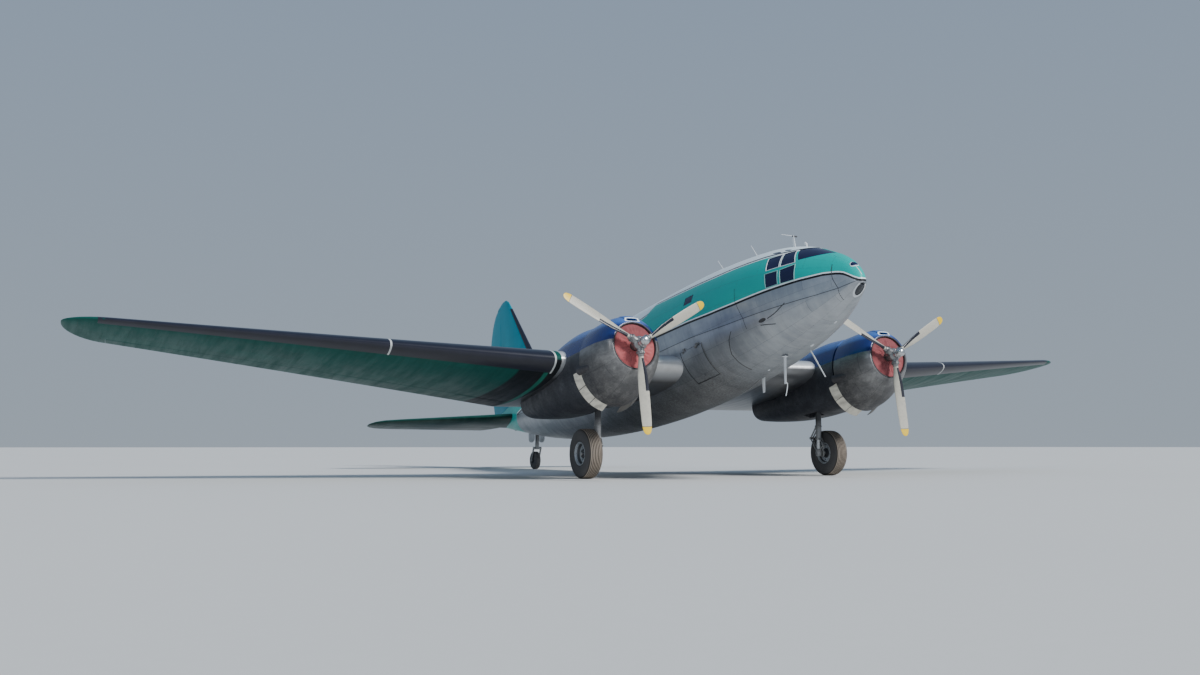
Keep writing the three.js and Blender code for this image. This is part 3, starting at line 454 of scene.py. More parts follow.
def hull_finish():
    material, place = new_finish("hull_metal_and_paint")
    place = on_the_plane(place)
    x, aft, up = axes(place)
    out = sum_of(up, -0.1)
    around = times(wire("Math", x, out, operation="ARCTAN2"), 1.5)
    tone, seam = sheets(aft, around, 1.35, 0.52)
    # Darker toward the belly and toward the wing: soiling, and painted shade under the hull.
    darkening = times(ramp(up, -0.25, -1.35), ramp(aft, 2.4, 5.4, 0.05, 0.86))
    colour, rough, soiled_and_shaded = worn_metal(place, tone, darkening)
    low, high, bend = [less(up, line_height(aft, line))
                       for line in (LOWER_LINE, UPPER_LINE, CREASE_LINE)]
    # Painted shade: the bare metal above the crease is made darker and bluer.
    colour = over(times(past(bend, 0.0, 0.006), 0.35), colour, PAINTED_SHADE_ABOVE_CREASE)
    # A dark line of painted shade runs along the crease.
    colour = over(ramp(size_of(bend), 0.012, 0.006, 0.0, 0.75), colour, PAINTED_SHADE_IN_CREASE)
    fade = times(noise(place, 0.9, 4), 0.5)
    # Painted reflection: the roof white is mixed with a cyan sky tint.
    teal, roof = over(fade, TEAL, TEAL_SHADE), over(fade, WHITE, ROOF_PAINTED_SKY_TINT)
    for distance, edge, paint in [(low, -0.040, BLACK), (low, 0.015, WHITE), (low, 0.048, teal),
                                  (high, -0.052, WHITE), (high, -0.022, BLACK), (high, 0.018, roof)]:
        colour = over(past(distance, edge, 0.002), colour, paint)
    dots = rivet_grid(aft, around, (0.045, 0.26), (0.045, 0.45))
    colour = over(times(sum_of(seam, times(dots, 0.35)), 0.55), colour, SEAM_DIRT)
    # The inside is covered with dull green primer.
    outward = sum_of(times(x, facing(place, 0)), times(out, facing(place, 2)))
    inside = ramp(outward, -0.30, -0.40)
    colour = over(inside, colour, PRIMER)
    painted = wire("Math", past(low, -0.040), inside, operation="MAXIMUM")
    rough = sum_of(times(noise(place, 5.0, 4, 0.7), 0.18), between(painted, rough, 0.27))
    metallic = times(between(painted, 0.86, 0.0), between(soiled_and_shaded, 1.0, 0.35))
    height = sheet_relief(place, seam, dots, 2.3, 1.6)
    return finished(material, colour, rough, height, (0.0045, 0.8), metallic, 0.25)


hull_paint = hull_finish()
HATCH_GAP = 0.007
DOOR_LEAN = math.radians(13)
HOLD_TUCK = math.radians(32)
door_up = Vector((-math.sin(DOOR_LEAN), 0, math.cos(DOOR_LEAN)))
door_out = Vector((math.cos(DOOR_LEAN), 0, math.sin(DOOR_LEAN)))
# Where the hinge line is, the ways out, toward the free edge and along it, then the sizes.
HATCHES = {
    "cargo_door_front": ("rear_shell", Vector((1.425, 13.293, 0.560)), door_out, Vector((0, 1, 0)),
                         door_up, 1.267, (-0.600, 0.640), (-0.250, 0.400)),
    "cargo_door_rear": ("rear_shell", Vector((1.217, 15.807, 0.560)), door_out, Vector((0, -1, 0)),
                        door_up, 1.225, (-0.600, 0.640), (-0.250, 0.400)),
    "hold_door": ("forward_shell", Vector((-1.412, 5.620, -0.410)),
                  Vector((-math.cos(HOLD_TUCK), 0, -math.sin(HOLD_TUCK))),
                  Vector((math.sin(HOLD_TUCK), 0, -math.cos(HOLD_TUCK))), Vector((0, 1, 0)),
                  0.950, (-0.500, 0.500), (-0.320, 0.320)),
}
KNUCKLE_RADIUS, KNUCKLE_LENGTH, KNUCKLE_DEPTH, KNUCKLE_REACH = 0.012, 0.090, 0.120, 0.060
# Corners of the cockpit panes as aft and height, from the front of the lower row on.
SIDE_PANES = [
    [(1.545, 0.285), (1.915, 0.290), (1.965, 0.650), (1.575, 0.680)],
    [(2.005, 0.300), (2.345, 0.300), (2.410, 0.665), (2.050, 0.655)],
    [(1.605, 0.752), (1.985, 0.755), (2.060, 1.112), (1.785, 1.128)],
    [(2.040, 0.762), (2.400, 0.768), (2.490, 1.118), (2.105, 1.116)],
]
WINDSCREEN = [(0.400, 0.785), (1.545, 0.785), (1.735, 1.128), (0.400, 1.128)]
CABIN_WINDOW = [(5.330, 0.795), (5.730, 0.795), (5.730, 1.015), (5.330, 1.015)]
CENTRE_POST, CENTRE_OUTER, PANE_INNER, PANE_OUTER = 0.035, 0.900, 0.300, 1.800
LAMP_HEIGHT, LAMP_RADIUS, LAMP_DEPTH = -0.300, 0.116, 0.420


def joined_up(mesh):
    """Merges corners that meet and turns all faces outward."""
    work = bmesh.new()
    work.from_mesh(mesh)
    bmesh.ops.remove_doubles(work, verts=work.verts, dist=MERGE)
    bmesh.ops.dissolve_degenerate(work, edges=work.edges, dist=MERGE)
    bmesh.ops.recalc_face_normals(work, faces=work.faces)
    work.to_mesh(mesh)
    work.free()
    return mesh


def together(name, meshes):
    """One mesh out of several."""
    work = bmesh.new()
    for mesh in meshes:
        work.from_mesh(mesh)
        bpy.data.meshes.remove(mesh)
    whole = bpy.data.meshes.new(name)
    work.to_mesh(whole)
    work.free()
    return whole


def closed(name, rings):
    """A mesh through rings that end where they start, like a tube bent into a hoop."""
    return joined_up(lofted(name, rings + [rings[0]], (False, False)))


def turns(count, shift=0.0):
    """Angles of a full turn in even steps."""
    return [2 * math.pi * (i + shift) / count for i in range(count)]


def turned(name, profile, steps=64):
    """A piece turned about an axis along Y, from rows of place along it and radius."""
    rings = [[(r * math.cos(t), y, r * math.sin(t)) for t in turns(steps)] for y, r in profile]
    if profile[0][1] > MERGE:
        return closed(name, rings)
    return joined_up(lofted(name, rings, (False, False)))


def ray(angle):
    """The way out from an axis along Y at an angle."""
    return Vector((math.cos(angle), 0, math.sin(angle)))


def pointing(place, way):
    """The turn and shift that lay a piece built along Y along a way."""
    return Matrix.Translation(place) @ AFT.rotation_difference(way).to_matrix().to_4x4()


def rod(start, end, radius, tip=None, steps=24, edge=0.12):
    """A round bar with a softened edge at both ends."""
    way = Vector(end) - Vector(start)
    tip = radius if tip is None else tip
    soft = min(edge * min(radius, tip), way.length * 0.3)
    mesh = turned("rod", [(0, 0), (0, radius - soft), (soft, radius), (way.length - soft, tip),
                          (way.length, tip - soft), (way.length, 0)], steps)
    mesh.transform(pointing(start, way))
    return mesh


def block(low, high, where=None):
    corners = [(x, y, z) for x in (low[0], high[0]) for y in (low[1], high[1]) for z in (low[2], high[2])]
    mesh = bpy.data.meshes.new("block")
    mesh.from_pydata(corners, [], [(0, 1, 3, 2), (4, 6, 7, 5), (0, 4, 5, 1), (2, 3, 7, 6),
                                   (0, 2, 6, 4), (1, 5, 7, 3)])
    if where is not None:
        mesh.transform(where)
    facing_out(mesh)
    return mesh


def frame_at(place, first, second, third):
    return Matrix.Translation(place) @ Matrix((first, second, third)).transposed().to_4x4()


def prism(corners, x0, x1):
    return lofted("prism", [[(x, a, h) for a, h in corners] for x in (x0, x1)])


def resized(row, grow):
    """Corners moved away from the middle of their row, or toward it where grow is negative."""
    middle = Vector([sum(p[i] for p in row) / len(row) for i in (0, 1)])
    return [tuple(Vector(p) + (Vector(p) - middle).normalized() * grow) for p in row]


def hatch_block(name, grow, edge=0.0):
    """A block through the skin the size of a hatch, grown all round and at its free edge."""
    _, at, out, free, along, length, span, _ = HATCHES[name]
    return block((-0.650, HATCH_GAP - grow, span[0] - grow),
                 (0.250, HATCH_GAP + length + edge, span[1] + grow), frame_at(at, out, free, along))


def lamp_plug(start, end, radius, steps=64):
    """A round block on the axis of the nose lamp."""
    mesh = turned("lamp_plug", [(start, 0), (start, radius), (end, radius), (end, 0)], steps)
    mesh.transform(Matrix.Translation((0, 0, LAMP_HEIGHT)))
    return mesh


def hatch_sweep(name):
    """All that a hatch passes through when it turns about its hinge line."""
    _, at, _, _, along, length, span, _ = HATCHES[name]
    start, end = span[0] - 0.05, span[1] + 0.05
    mesh = turned("sweep", [(start, 0), (start, length), (end, length), (end, 0)], 160)
    mesh.transform(pointing(at, along))
    return mesh


def knuckles(name, turning):
    """The halves of a hatch's hinges on the door, or the ones on the frame."""
    _, at, out, free, along, _, _, places = HATCHES[name]
    where = frame_at(at, along, free, out)
    made = []
    for place in places:
        a, b = (place + FIT, place + KNUCKLE_LENGTH) if turning else (place - KNUCKLE_LENGTH, place)
        reach = (HATCH_GAP, KNUCKLE_REACH) if turning else (-KNUCKLE_REACH, -0.002)
        pin = rod((a, 0, 0), (b, 0, 0), KNUCKLE_RADIUS, steps=20)
        pin.transform(where)
        made += [pin, block((a, reach[0], -KNUCKLE_DEPTH * 0.3), (b, reach[1], KNUCKLE_RADIUS * 0.6), where)]
    return made


def rounded_nose(rings):
    """Draws the first rings of the nose in, so that its tip ends in a dome."""
    for ring, share in zip(rings, (0.45, 0.80, 0.95)):
        for i, (x, y, z) in enumerate(ring):
            ring[i] = (x * share, y, -0.120 + (z + 0.120) * share)
    return rings


def hull_section(name, start, end, steps):
    """A hull section as one closed skin: outside, rims, and inside drawn in by the wall."""
    nose = start == NOSE_TIP
    power = NOSE_CROWD if nose else 1.0
    outside = [hull_ring(y) for y in spread(start, end, steps, power)]
    inside = [hull_ring(y, WALL) for y in spread(start + NOSE_SOLID if nose else start, end, steps, power)]
    if nose:
        return raw(lofted(name, rounded_nose(outside) + inside[::-1]))
    return raw(closed(name, outside + inside[::-1]))


def copy_of(piece):
    return raw(piece.data.copy())


shells = {
    "nose_shell": hull_section("nose_shell", NOSE_TIP, JOINT_NOSE - FIT, 64),
    "forward_shell": hull_section("forward_shell", JOINT_NOSE, JOINT_REAR - FIT, 40),
    "rear_shell": hull_section("rear_shell", JOINT_REAR, JOINT_TAIL, 40),
}
hatches = {}
for name, (shell, *_) in HATCHES.items():
    hatches[name] = worked(copy_of(shells[shell]), hatch_block(name, 0.0), "INTERSECT")
    worked(hatches[name], hatch_sweep(name), "INTERSECT")
for name, (shell, *_) in HATCHES.items():
    worked(shells[shell], hatch_block(name, HATCH_GAP, 0.014))
for _, sign in SIDES:
    worked(shells["nose_shell"], prism(WINDSCREEN, sign * CENTRE_POST, sign * CENTRE_OUTER))
    for row in SIDE_PANES:
        worked(shells["nose_shell"], prism(row, sign * PANE_INNER, sign * PANE_OUTER))
worked(shells["forward_shell"], prism(CABIN_WINDOW, -1.900, 1.900))
worked(shells["nose_shell"], lamp_plug(-0.100, LAMP_DEPTH, LAMP_RADIUS))


def fitted(piece, name, material, node=None, slot=None, body="airframe", where=tilt, angle=30):
    """Names a finished piece and gives it its material, place and body. The slot is not used."""
    piece = raw(piece)
    piece.name = piece.data.name = name
    kinds = [face.material_index for face in piece.data.polygons] if isinstance(material, list) else []
    piece.data.materials.clear()
    for each in material if isinstance(material, list) else [material]:
        piece.data.materials.append(each)
    if kinds:
        piece.data.polygons.foreach_set("material_index", kinds)
    piece.data.shade_smooth()
    piece.data.set_sharp_from_angle(angle=math.radians(angle))
    if where is tilt:
        piece.data.transform(tilt)
    else:
        piece.matrix_world = where
    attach(piece, body)
    if node:
        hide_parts(node)


def repainted(node, material):
    """Gives a plain CAD solid that stays its finish."""
    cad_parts[node].data.materials.clear()
    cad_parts[node].data.materials.append(material)


for name, shell in shells.items():
    fitted(shell, name + "_skin", hull_paint, name)
for name, door in hatches.items():
    fitted(door, name + "_panel", hull_paint, name, body=name)


# Hatch hinges and latches
# Small forged steel knuckles riveted to the skin on both sides of each door's hinge line, and a
# turned latch near the free edge. They are dull with a dark film of oil.
fitting_steel = coat("worn_fitting_steel", (0.18, 0.18, 0.185), (0.42, 0.42, 0.41), (14.0, 4),
                     (90.0, 2), (0.28, 0.55), (0.0004, 1.0), (0.62, 0.1, 1.0, (0.09, 0.085, 0.08)), 0.85)
for name in HATCHES:
    fitted(together("hinges", knuckles(name, True)), name + "_hinges", fitting_steel, slot=name, body=name)
    fitted(together("hinges", knuckles(name, False)), name + "_frame_hinges", fitting_steel,
           slot=HATCHES[name][0])
LATCHES = {"cargo_door_front": (0.90, 0.05), "cargo_door_rear": (0.90, 0.05), "hold_door": (0.86, 0.0)}
for name, (share, height) in LATCHES.items():
    _, at, out, free, along, length, _, _ = HATCHES[name]
    start = at + free * length * share + along * height
    hit, place, normal, _ = hatches[name].ray_cast(tilt @ (start + out * 0.6), tilt.to_3x3() @ -out)
    if hit:
        place, normal = tilt.inverted() @ place, tilt.to_3x3().inverted() @ normal
        grip = rod(place - normal * 0.01, place + normal * 0.018, 0.030, 0.026)
        middle, reach = place + normal * 0.022, along * 0.055
        handle = rod(middle - reach, middle + reach, 0.009)
        fitted(together("latch", [grip, handle]), name + "_latch", fitting_steel, slot=name, body=name)


# Cockpit and cabin windows
# Flat and slightly curved panes of tinted glass, held in pressed metal frames that stand a little
# proud of the skin: white around the upper row of side panes and pale teal around the lower one.
def dark_glass():
    material, place = new_finish("tinted_glass")
    smear = noise(stretched(place, 3.0, 3.0, 14.0), 1.0, 3)
    tone = over(noise(place, 1.7, 2), (0.004, 0.006, 0.022), (0.014, 0.016, 0.070))
    tone = over(times(smear, 0.10), tone, (0.05, 0.06, 0.13))
    return finished(material, tone, between(smear, 0.03, 0.12), specular=0.32)


def frame_paint(name, light, shade):
    return coat(name, light, shade, (4.0, 4), (38.0, 3, 0.75), (0.28, 0.48), (0.0006, 0.5),
                (0.71, 0.02, 1.0, (0.25, 0.26, 0.27)))


glass = dark_glass()
white_frame = frame_paint("white_frame_paint", (0.80, 0.82, 0.83), (0.60, 0.63, 0.65))
teal_frame = frame_paint("pale_teal_frame_paint", (0.34, 0.60, 0.57), (0.16, 0.42, 0.39))
GLASS_INSET, GLASS_THICK = 0.006, 0.008
FRAME_PROUD, FRAME_WIDTH = 0.005, 0.022
# Where the layers of glass and frame start and end, and their number of steps.
PANE_REGION, CABIN_REGION = (0.35, 2.75, 44), (5.2, 5.86, 6)


def layer(outer, inner, region):
    """A thin layer of the hull between two depths below the skin."""
    front, back = [[hull_ring(y, depth) for y in spread(*region)] for depth in (outer, inner)]
    return closed("layer", front + back[::-1])


def pane_blocks(row, grow):
    """Blocks through the panes of a row on both sides; those of the windscreen leave its post."""
    inner, outer = (CENTRE_POST - grow * 0.6, CENTRE_OUTER) if row is WINDSCREEN else (PANE_INNER, PANE_OUTER)
    return [prism(resized(row, grow), sign * inner, sign * outer) for _, sign in SIDES]


def window_frames(name, rows, material):
    """A pressed frame around each pane of a row, cut out where the glass of any pane shows."""
    around = together("around", [m for row in rows for m in pane_blocks(row, FRAME_WIDTH)])
    frames = worked(layer(-FRAME_PROUD, 0.030, PANE_REGION), around, "INTERSECT", True)
    for row in [WINDSCREEN] + rows:
        for cutter in pane_blocks(row, 0.0):
            worked(frames, cutter)
    fitted(frames, name, material, slot="nose_shell", angle=40)


holders = together("holders", [m for row in [WINDSCREEN] + SIDE_PANES for m in pane_blocks(row, 0.012)])
panes = worked(layer(GLASS_INSET, GLASS_INSET + GLASS_THICK, PANE_REGION), holders, "INTERSECT")
fitted(panes, "cockpit_panes", glass, "cockpit_glazing", angle=40)
window_frames("upper_window_frames", SIDE_PANES[2:], white_frame)
window_frames("lower_window_frames", SIDE_PANES[:2], teal_frame)
cabin_panes = worked(layer(GLASS_INSET, GLASS_INSET + GLASS_THICK, CABIN_REGION),
                     prism(resized(CABIN_WINDOW, 0.012), -1.9, 1.9), "INTERSECT")
fitted(cabin_panes, "cabin_panes", glass, slot="cockpit_glazing", angle=40)


# Panel joints, seals and small lights of the hull
# Lapped joints closed with dark sealing strip, a rubber seal around each hatch, two eyebrow panes
# over the cockpit, and a small oval light in the top of the nose. All are fixed flush to the skin.
seal_black = coat("dark_sealing_strip", (0.018, 0.018, 0.020), (0.060, 0.060, 0.064), (18.0, 4),
                  (18.0, 4), (0.50, 0.75), (0.0006, 0.6))
SEAL_DEEP, STRIP_PITCH = 0.004, 0.06
NOSE_JOINT = [(-0.36, 0.660, 0.420), (-0.41, 0.650, 0.220), (-0.43, 0.636, 0.060), (-0.37, 0.552, -0.205),
              (-0.30, 0.575, -0.380), (-0.20, 0.600, -0.460)]
FORWARD_JOINT = [(-1.27, 3.440, 0.600), (-1.31, 3.420, 0.250), (-1.28, 3.340, 0.000), (-1.22, 3.285, -0.220),
                 (-1.10, 3.250, -0.480)]
SECOND_HATCH = [(-1.262, 3.810, -0.411), (-1.227, 3.990, -0.583), (-1.130, 4.110, -0.760),
                (-1.049, 4.200, -0.910), (-0.800, 4.225, -1.110), (-0.474, 4.215, -1.293)]
RECESS = (-1.090, 2.674, -0.432)
RECESS_LINES = [[(-1.05, 2.50, -0.43), (-1.02, 2.28, -0.38), (-0.993, 2.154, -0.332), (-0.93, 1.90, -0.20)],
                [(-1.06, 2.78, -0.52), (-1.00, 2.55, -0.56), (-0.93, 2.35, -0.60)]]
OVAL_LIGHT = (-0.050, 0.262, 0.330)


def on_skin(spot):
    """The place on the hull nearest a spot, and the way straight out of the skin there."""
    x, aft, up = spot
    top, bottom, centre, width, crease = [column(STATIONS, key, aft) for key in range(1, 6)]
    lobe = math.asin((crease - centre) / (top - centre))
    if up >= crease:
        middle, half, rise, edge, lift = centre, width, top - centre, 1, 1
    else:
        middle, half, rise, edge, lift = crease, width * math.cos(lobe), crease - bottom, 2, -1
    turn = math.atan2((up - middle) / rise, x / half)
    place = Vector((half * math.cos(turn), aft, middle + rise * math.sin(turn)))
    out = Vector((math.cos(turn) / half, 0, math.sin(turn) / rise)).normalized()
    swell, climb = [(column(STATIONS, key, aft + 0.02) - column(STATIONS, key, aft - 0.02)) / 0.04
                    for key in (4, edge)]
    slope = abs(math.cos(turn)) * swell + abs(math.sin(turn)) * climb * lift
    return place, (out - AFT * slope).normalized()


def skin_strip(points, width, proud=0.0015):
    """A thin strip laid on the hull along points."""
    path = []
    for start, end in zip(points, points[1:]):
        start, end = Vector(start), Vector(end)
        steps = max(1, round((end - start).length / STRIP_PITCH))
        path += [start.lerp(end, i / steps) for i in range(steps)]
    path.append(Vector(points[-1]))
    spots = [on_skin(spot) for spot in path]
    rings = []
    for i, (place, out) in enumerate(spots):
        way = (spots[min(i + 1, len(spots) - 1)][0] - spots[max(i - 1, 0)][0]).normalized()
        side = out.cross(way) * width / 2
        rings.append([place + side + out * proud, place - side + out * proud,
                      place - side - out * SEAL_DEEP, place + side - out * SEAL_DEEP])
    return lofted("strip", rings)


def skin_patch(spot, way, long, wide, proud):
    """A low oval cap on the hull, bulged by a set height."""
    place, out = on_skin(spot)
    first = (Vector(way) - out * out.dot(Vector(way))).normalized() * long
    second = out.cross(first).normalized() * wide
    rings = []
    for share, height in ((0.02, -SEAL_DEEP), (1.0, -SEAL_DEEP), (1.0, proud * 0.4), (0.93, proud * 0.7),
                          (0.6, proud * 0.93), (0.02, proud)):
        spots = [on_skin(place + (first * math.cos(t) + second * math.sin(t)) * share) for t in turns(40)]
        rings.append([near + normal * height for near, normal in spots])
    return lofted("patch", rings)


seams = [skin_strip(NOSE_JOINT, 0.016), skin_strip(FORWARD_JOINT, 0.012),
         skin_strip(SECOND_HATCH, 0.020, 0.003), skin_patch(RECESS, AFT, 0.125, 0.048, 0.004)]
seams += [skin_strip(row, 0.022, 0.003) for row in RECESS_LINES]
fitted(together("seams", seams), "hull_joint_strips", seal_black, slot="nose_shell")


def hatch_rim(name, away):
    """Corners of a hatch at a distance outside its opening, on the skin, from the hinge line on."""
    _, at, _, free, along, length, span, _ = HATCHES[name]
    corners = [(-away, span[0] - away), (length + away, span[0] - away), (length + away, span[1] + away),
               (-away, span[1] + away)]
    return [at + free * (HATCH_GAP + down) + along * side for down, side in corners]


for name, (shell, *_) in HATCHES.items():
    corners = hatch_rim(name, 0.016)
    sides = [skin_strip(ends, 0.020, 0.002) for ends in zip(corners, corners[1:])]
    fitted(together("seal", sides), name + "_seal", seal_black, slot=shell)
fitted(skin_strip(hatch_rim("hold_door", 0.045)[:2], 0.034, 0.003), "hold_door_rub_strip", fitting_steel,
       slot="forward_shell")
for side, sign in SIDES:
    brows = [skin_patch((sign * 0.60, 2.40, 1.262), AFT, 0.150, 0.040, 0.003),
             skin_patch((sign * 0.47, 2.11, 1.245), AFT, 0.115, 0.036, 0.003)]
    fitted(together("brows", brows), "eyebrow_panes_" + side, glass, slot="cockpit_glazing")
fitted(skin_patch(OVAL_LIGHT, ACROSS, 0.122, 0.092, 0.012), "nose_light_rim", white_frame, slot="nose_shell")
fitted(skin_patch(OVAL_LIGHT, ACROSS, 0.100, 0.068, 0.024), "nose_light_glass", glass, slot="cockpit_glazing")
whites = [skin_strip([(-0.050, 0.200, 0.245), (-0.035, 0.150, 0.16), (-0.010, 0.085, 0.02)], 0.018, 0.002),
          skin_patch((0.198, 2.498, -1.053), AFT, 0.060, 0.045, 0.020),
          skin_patch((0.097, 1.370, -0.771), AFT, 0.060, 0.030, 0.018),
          skin_patch((-0.100, 4.000, -1.330), AFT, 0.040, 0.025, 0.020)]
fitted(together("whites", whites), "white_hull_fittings", white_frame, slot="nose_shell")
belly_line = [(0.08, 4.70, -1.42), (0.20, 5.30, -1.49), (0.333, 6.03, -1.529)]
fitted(skin_strip(belly_line, 0.030, 0.006), "belly_drain_strip", fitting_steel, slot="forward_shell")


# Cabin floor, bulkhead and cockpit fittings
# Plywood-topped alloy floor on cross beams, a light alloy bulkhead with a doorway, and two
# upholstered seats behind the instrument panel. They keep their plain shapes behind the skin.
def floor_boards():
    material, place = new_finish("worn_floor_boards")
    grain = noise(stretched(place, 30.0, 1.5, 8.0), 1.0, 4, 0.6)
    scuff = noise(place, 3.0, 5)
    tone = over(grain, (0.20, 0.17, 0.13), (0.32, 0.28, 0.21))
    tone = over(past(scuff, 0.55, 0.15), tone, (0.13, 0.12, 0.10))
    return finished(material, tone, between(scuff, 0.55, 0.8), grain)


repainted("cabin_floor", floor_boards())
repainted("bulkhead", coat("green_primer", (0.16, 0.20, 0.13), (0.25, 0.29, 0.19), (2.2, 4),
                           (60.0, 2), (0.45, 0.7), (0.001, 1.0), (0.66, 0.05, 1.0, (0.35, 0.36, 0.35)),
                           even_relief=True))
repainted("cockpit_fittings", coat("seat_leather", (0.030, 0.032, 0.040), (0.075, 0.070, 0.068),
                                   (5.0, 4), (220.0, 3), (0.45, 0.7), (0.0008, 1.0)))


# Wing
# A straight centre section through the fuselage and two tapered outer panels of riveted sheet,
# dark green outside and polished metal in the middle, with rubber boots along the front edge.
CENTRE_HALF, HALF_SPAN = 4.900, 16.460
ROOT_LE, ROOT_CHORD, ROOT_HEIGHT, TIP_LE, TIP_CHORD = 6.200, 4.950, -0.660, 9.200, 1.800
DIHEDRAL, INCIDENCE = math.radians(6.9), math.radians(2.5)
ROOT_THICK, TIP_THICK = 0.17, 0.105
HINGE_SHARE, HINGE_REACH = 0.76, 3.0
FLAP_SPAN, AILERON_SPAN = (5.010, 9.700), (9.740, 15.400)
TIP_ROUND, COVE_GAP, END_GAP = 1.000, 0.014, 0.008
FOIL_STEPS = 30
BOOT_JOINTS, BOOT_REACH, BOOT_PROUD = (5.050, 9.050, 15.700), 0.085, 0.004


def wing_station(x):
    span = abs(x)
    share = max(0, (span - CENTRE_HALF) / (HALF_SPAN - CENTRE_HALF))
    lead = ROOT_LE + (TIP_LE - ROOT_LE) * share
    chord = ROOT_CHORD + (TIP_CHORD - ROOT_CHORD) * share
    turn = max(0, (span - (HALF_SPAN - TIP_ROUND)) / TIP_ROUND)
    keep = math.sqrt(max(0, 1 - turn**2)) * 0.97 + 0.03
    return (x, lead + chord * (1 - keep) * 0.30, chord * keep,
            ROOT_HEIGHT + max(0, span - CENTRE_HALF) * math.tan(DIHEDRAL),
            ROOT_THICK + (TIP_THICK - ROOT_THICK) * share, INCIDENCE * (1 - 0.6 * share))


def foil(share, thick):
    """Half thickness and camber of a section at a share of its chord."""
    half = 5 * thick * (0.2969 * math.sqrt(share) - 0.126 * share - 0.3516 * share**2
                        + 0.2843 * share**3 - 0.1015 * share**4)
    return max(half, 0.0012), 0.072 * share * (1 - share) ** 2


def on_section(station, share, height):
    x, lead, chord, base, _, twist = station
    return Vector((x, lead + chord * (share * math.cos(twist) + height * math.sin(twist)),
                   base + chord * (height * math.cos(twist) - share * math.sin(twist))))


def foil_shares(steps=FOIL_STEPS):
    return [(i, (1 - math.cos(math.pi * abs(i) / steps)) / 2) for i in range(-steps, steps)]


def wing_ring(station):
    ring = []
    for i, share in foil_shares():
        half, camber = foil(share, station[4])
        ring.append(on_section(station, share, camber - half if i < 0 else camber + half))
    ring.append(on_section(station, 1, foil(1, station[4])[0]))
    return ring


def behind_hinge(ends, extra, across):
    """All that lies behind a hinge line, with a round nose about it."""
    rings = []
    for at, radius in ends:
        r = radius + extra
        ring = [at + across * r * math.cos(math.pi * i / 24) - AFT * r * math.sin(math.pi * i / 24)
                for i in range(25)]
        rings.append(ring + [at + across * r * s + AFT * HINGE_REACH * t
                             for s, t in ((-3, 0.1), (-3, 1), (3, 1), (3, 0.1))])
    return lofted("behind", rings)


def wing_hinge(span):
    (root, r0), (end, r1) = [
        (on_section(st, HINGE_SHARE, foil(HINGE_SHARE, st[4])[1]), foil(HINGE_SHARE, st[4])[0] * st[2])
        for st in (wing_station(CENTRE_HALF), wing_station(HALF_SPAN - TIP_ROUND))]
    share = (span - CENTRE_HALF) / (HALF_SPAN - TIP_ROUND - CENTRE_HALF)
    return root.lerp(end, share), r0 + (r1 - r0) * share


def mirrored(mesh):
    other = mesh.copy()
    other.transform(Matrix.Diagonal((-1, 1, 1, 1)))
    other.flip_normals()
    return other


def on_both_sides(piece, name, material, node=None, slot=None, body="airframe", **settings):
    """Keeps a port piece and adds its mirror image on the starboard side."""
    piece = raw(piece)
    for side, each in (("port", piece), ("starboard", raw(mirrored(piece.data)))):
        fitted(each, f"{name}_{side}", material, node and f"{node}_{side}", slot and f"{slot}_{side}",
               body.format(side=side), **settings)


def facing_down(place):
    """1 where the piece faces down and 0 where it faces up."""
    return ramp(facing(place, 2), 0.06, -0.06)


def green_wing():
    material, place = new_finish("green_wing_paint")
    place = on_the_plane(place)
    x, aft, _ = axes(place)
    span = size_of(x)
    tone, seam = sheets(span, aft, 1.15, 0.62, 0.0035)
    cloud = noise(place, 1.1, 5)
    darkening = past(noise(stretched(place, 5.0, 0.5, 2.0), 1.0, 4, 0.65), 0.56, 0.16)
    colour = over(cloud, (0.0, 0.052, 0.042), (0.0, 0.080, 0.064))
    colour = over(times(tone, 0.18), colour, (0.005, 0.125, 0.095))
    # Near the nacelle the underside is black, with a thin green line in it.
    below = facing_down(place)
    colour = over(times(below, ramp(span, 5.86, 5.80)), colour, (0.006, 0.007, 0.010))
    line = size_of(less(span, sum_of(times(aft, -0.075), 5.65)))
    colour = over(times(below, ramp(line, 0.060, 0.050)), colour, (0.006, 0.150, 0.105))
    colour = over(times(darkening, 0.18), colour, (0.010, 0.026, 0.022))
    colour = over(times(seam, 0.55), colour, (0.005, 0.020, 0.016))
    rough = sum_of(between(cloud, 0.36, 0.54), times(darkening, 0.18))
    dots = rivet_grid(span, aft, (0.05, 0.31), (0.05, 0.575))
    return finished(material, colour, rough, sheet_relief(place, seam, dots, 2.4, 1.4), (0.003, 0.8),
                    specular=0.18)


def bright_metal():
    """Polished sheet, bright in front and grey behind, with painted shade underneath that is deeper on the
    port side.
    """
    material, place = new_finish("polished_root_metal")
    below = facing_down(place)
    x, aft, _ = axes(on_the_plane(place))
    streak = noise(stretched(place, 9.0, 0.6, 0.6), 1.0, 5, 0.6)
    stain = past(noise(place, 1.5, 5), 0.58, 0.1)
    tone = over(streak, (0.80, 0.79, 0.76), (0.95, 0.95, 0.94))
    # Over the bright tone go stains, grey metal behind the front edge, painted shade under the rear part, and
    # painted shade under the port side.
    for share, paint in (
            (times(stain, 0.4), (0.40, 0.36, 0.30)),
            (ramp(aft, 6.10, 6.45, 0.0, 0.80), (0.30, 0.32, 0.35)),
            (times(below, ramp(aft, 6.45, 6.95, 0.0, 0.93)), (0.035, 0.034, 0.036)),
            (times(below, ramp(x, 0.0, 0.5, 0.0, 0.75)), (0.045, 0.048, 0.058))):
        tone = over(share, tone, paint)
    return finished(material, tone, between(streak, 0.22, 0.42), streak, (0.001, 0.6), 0.45)


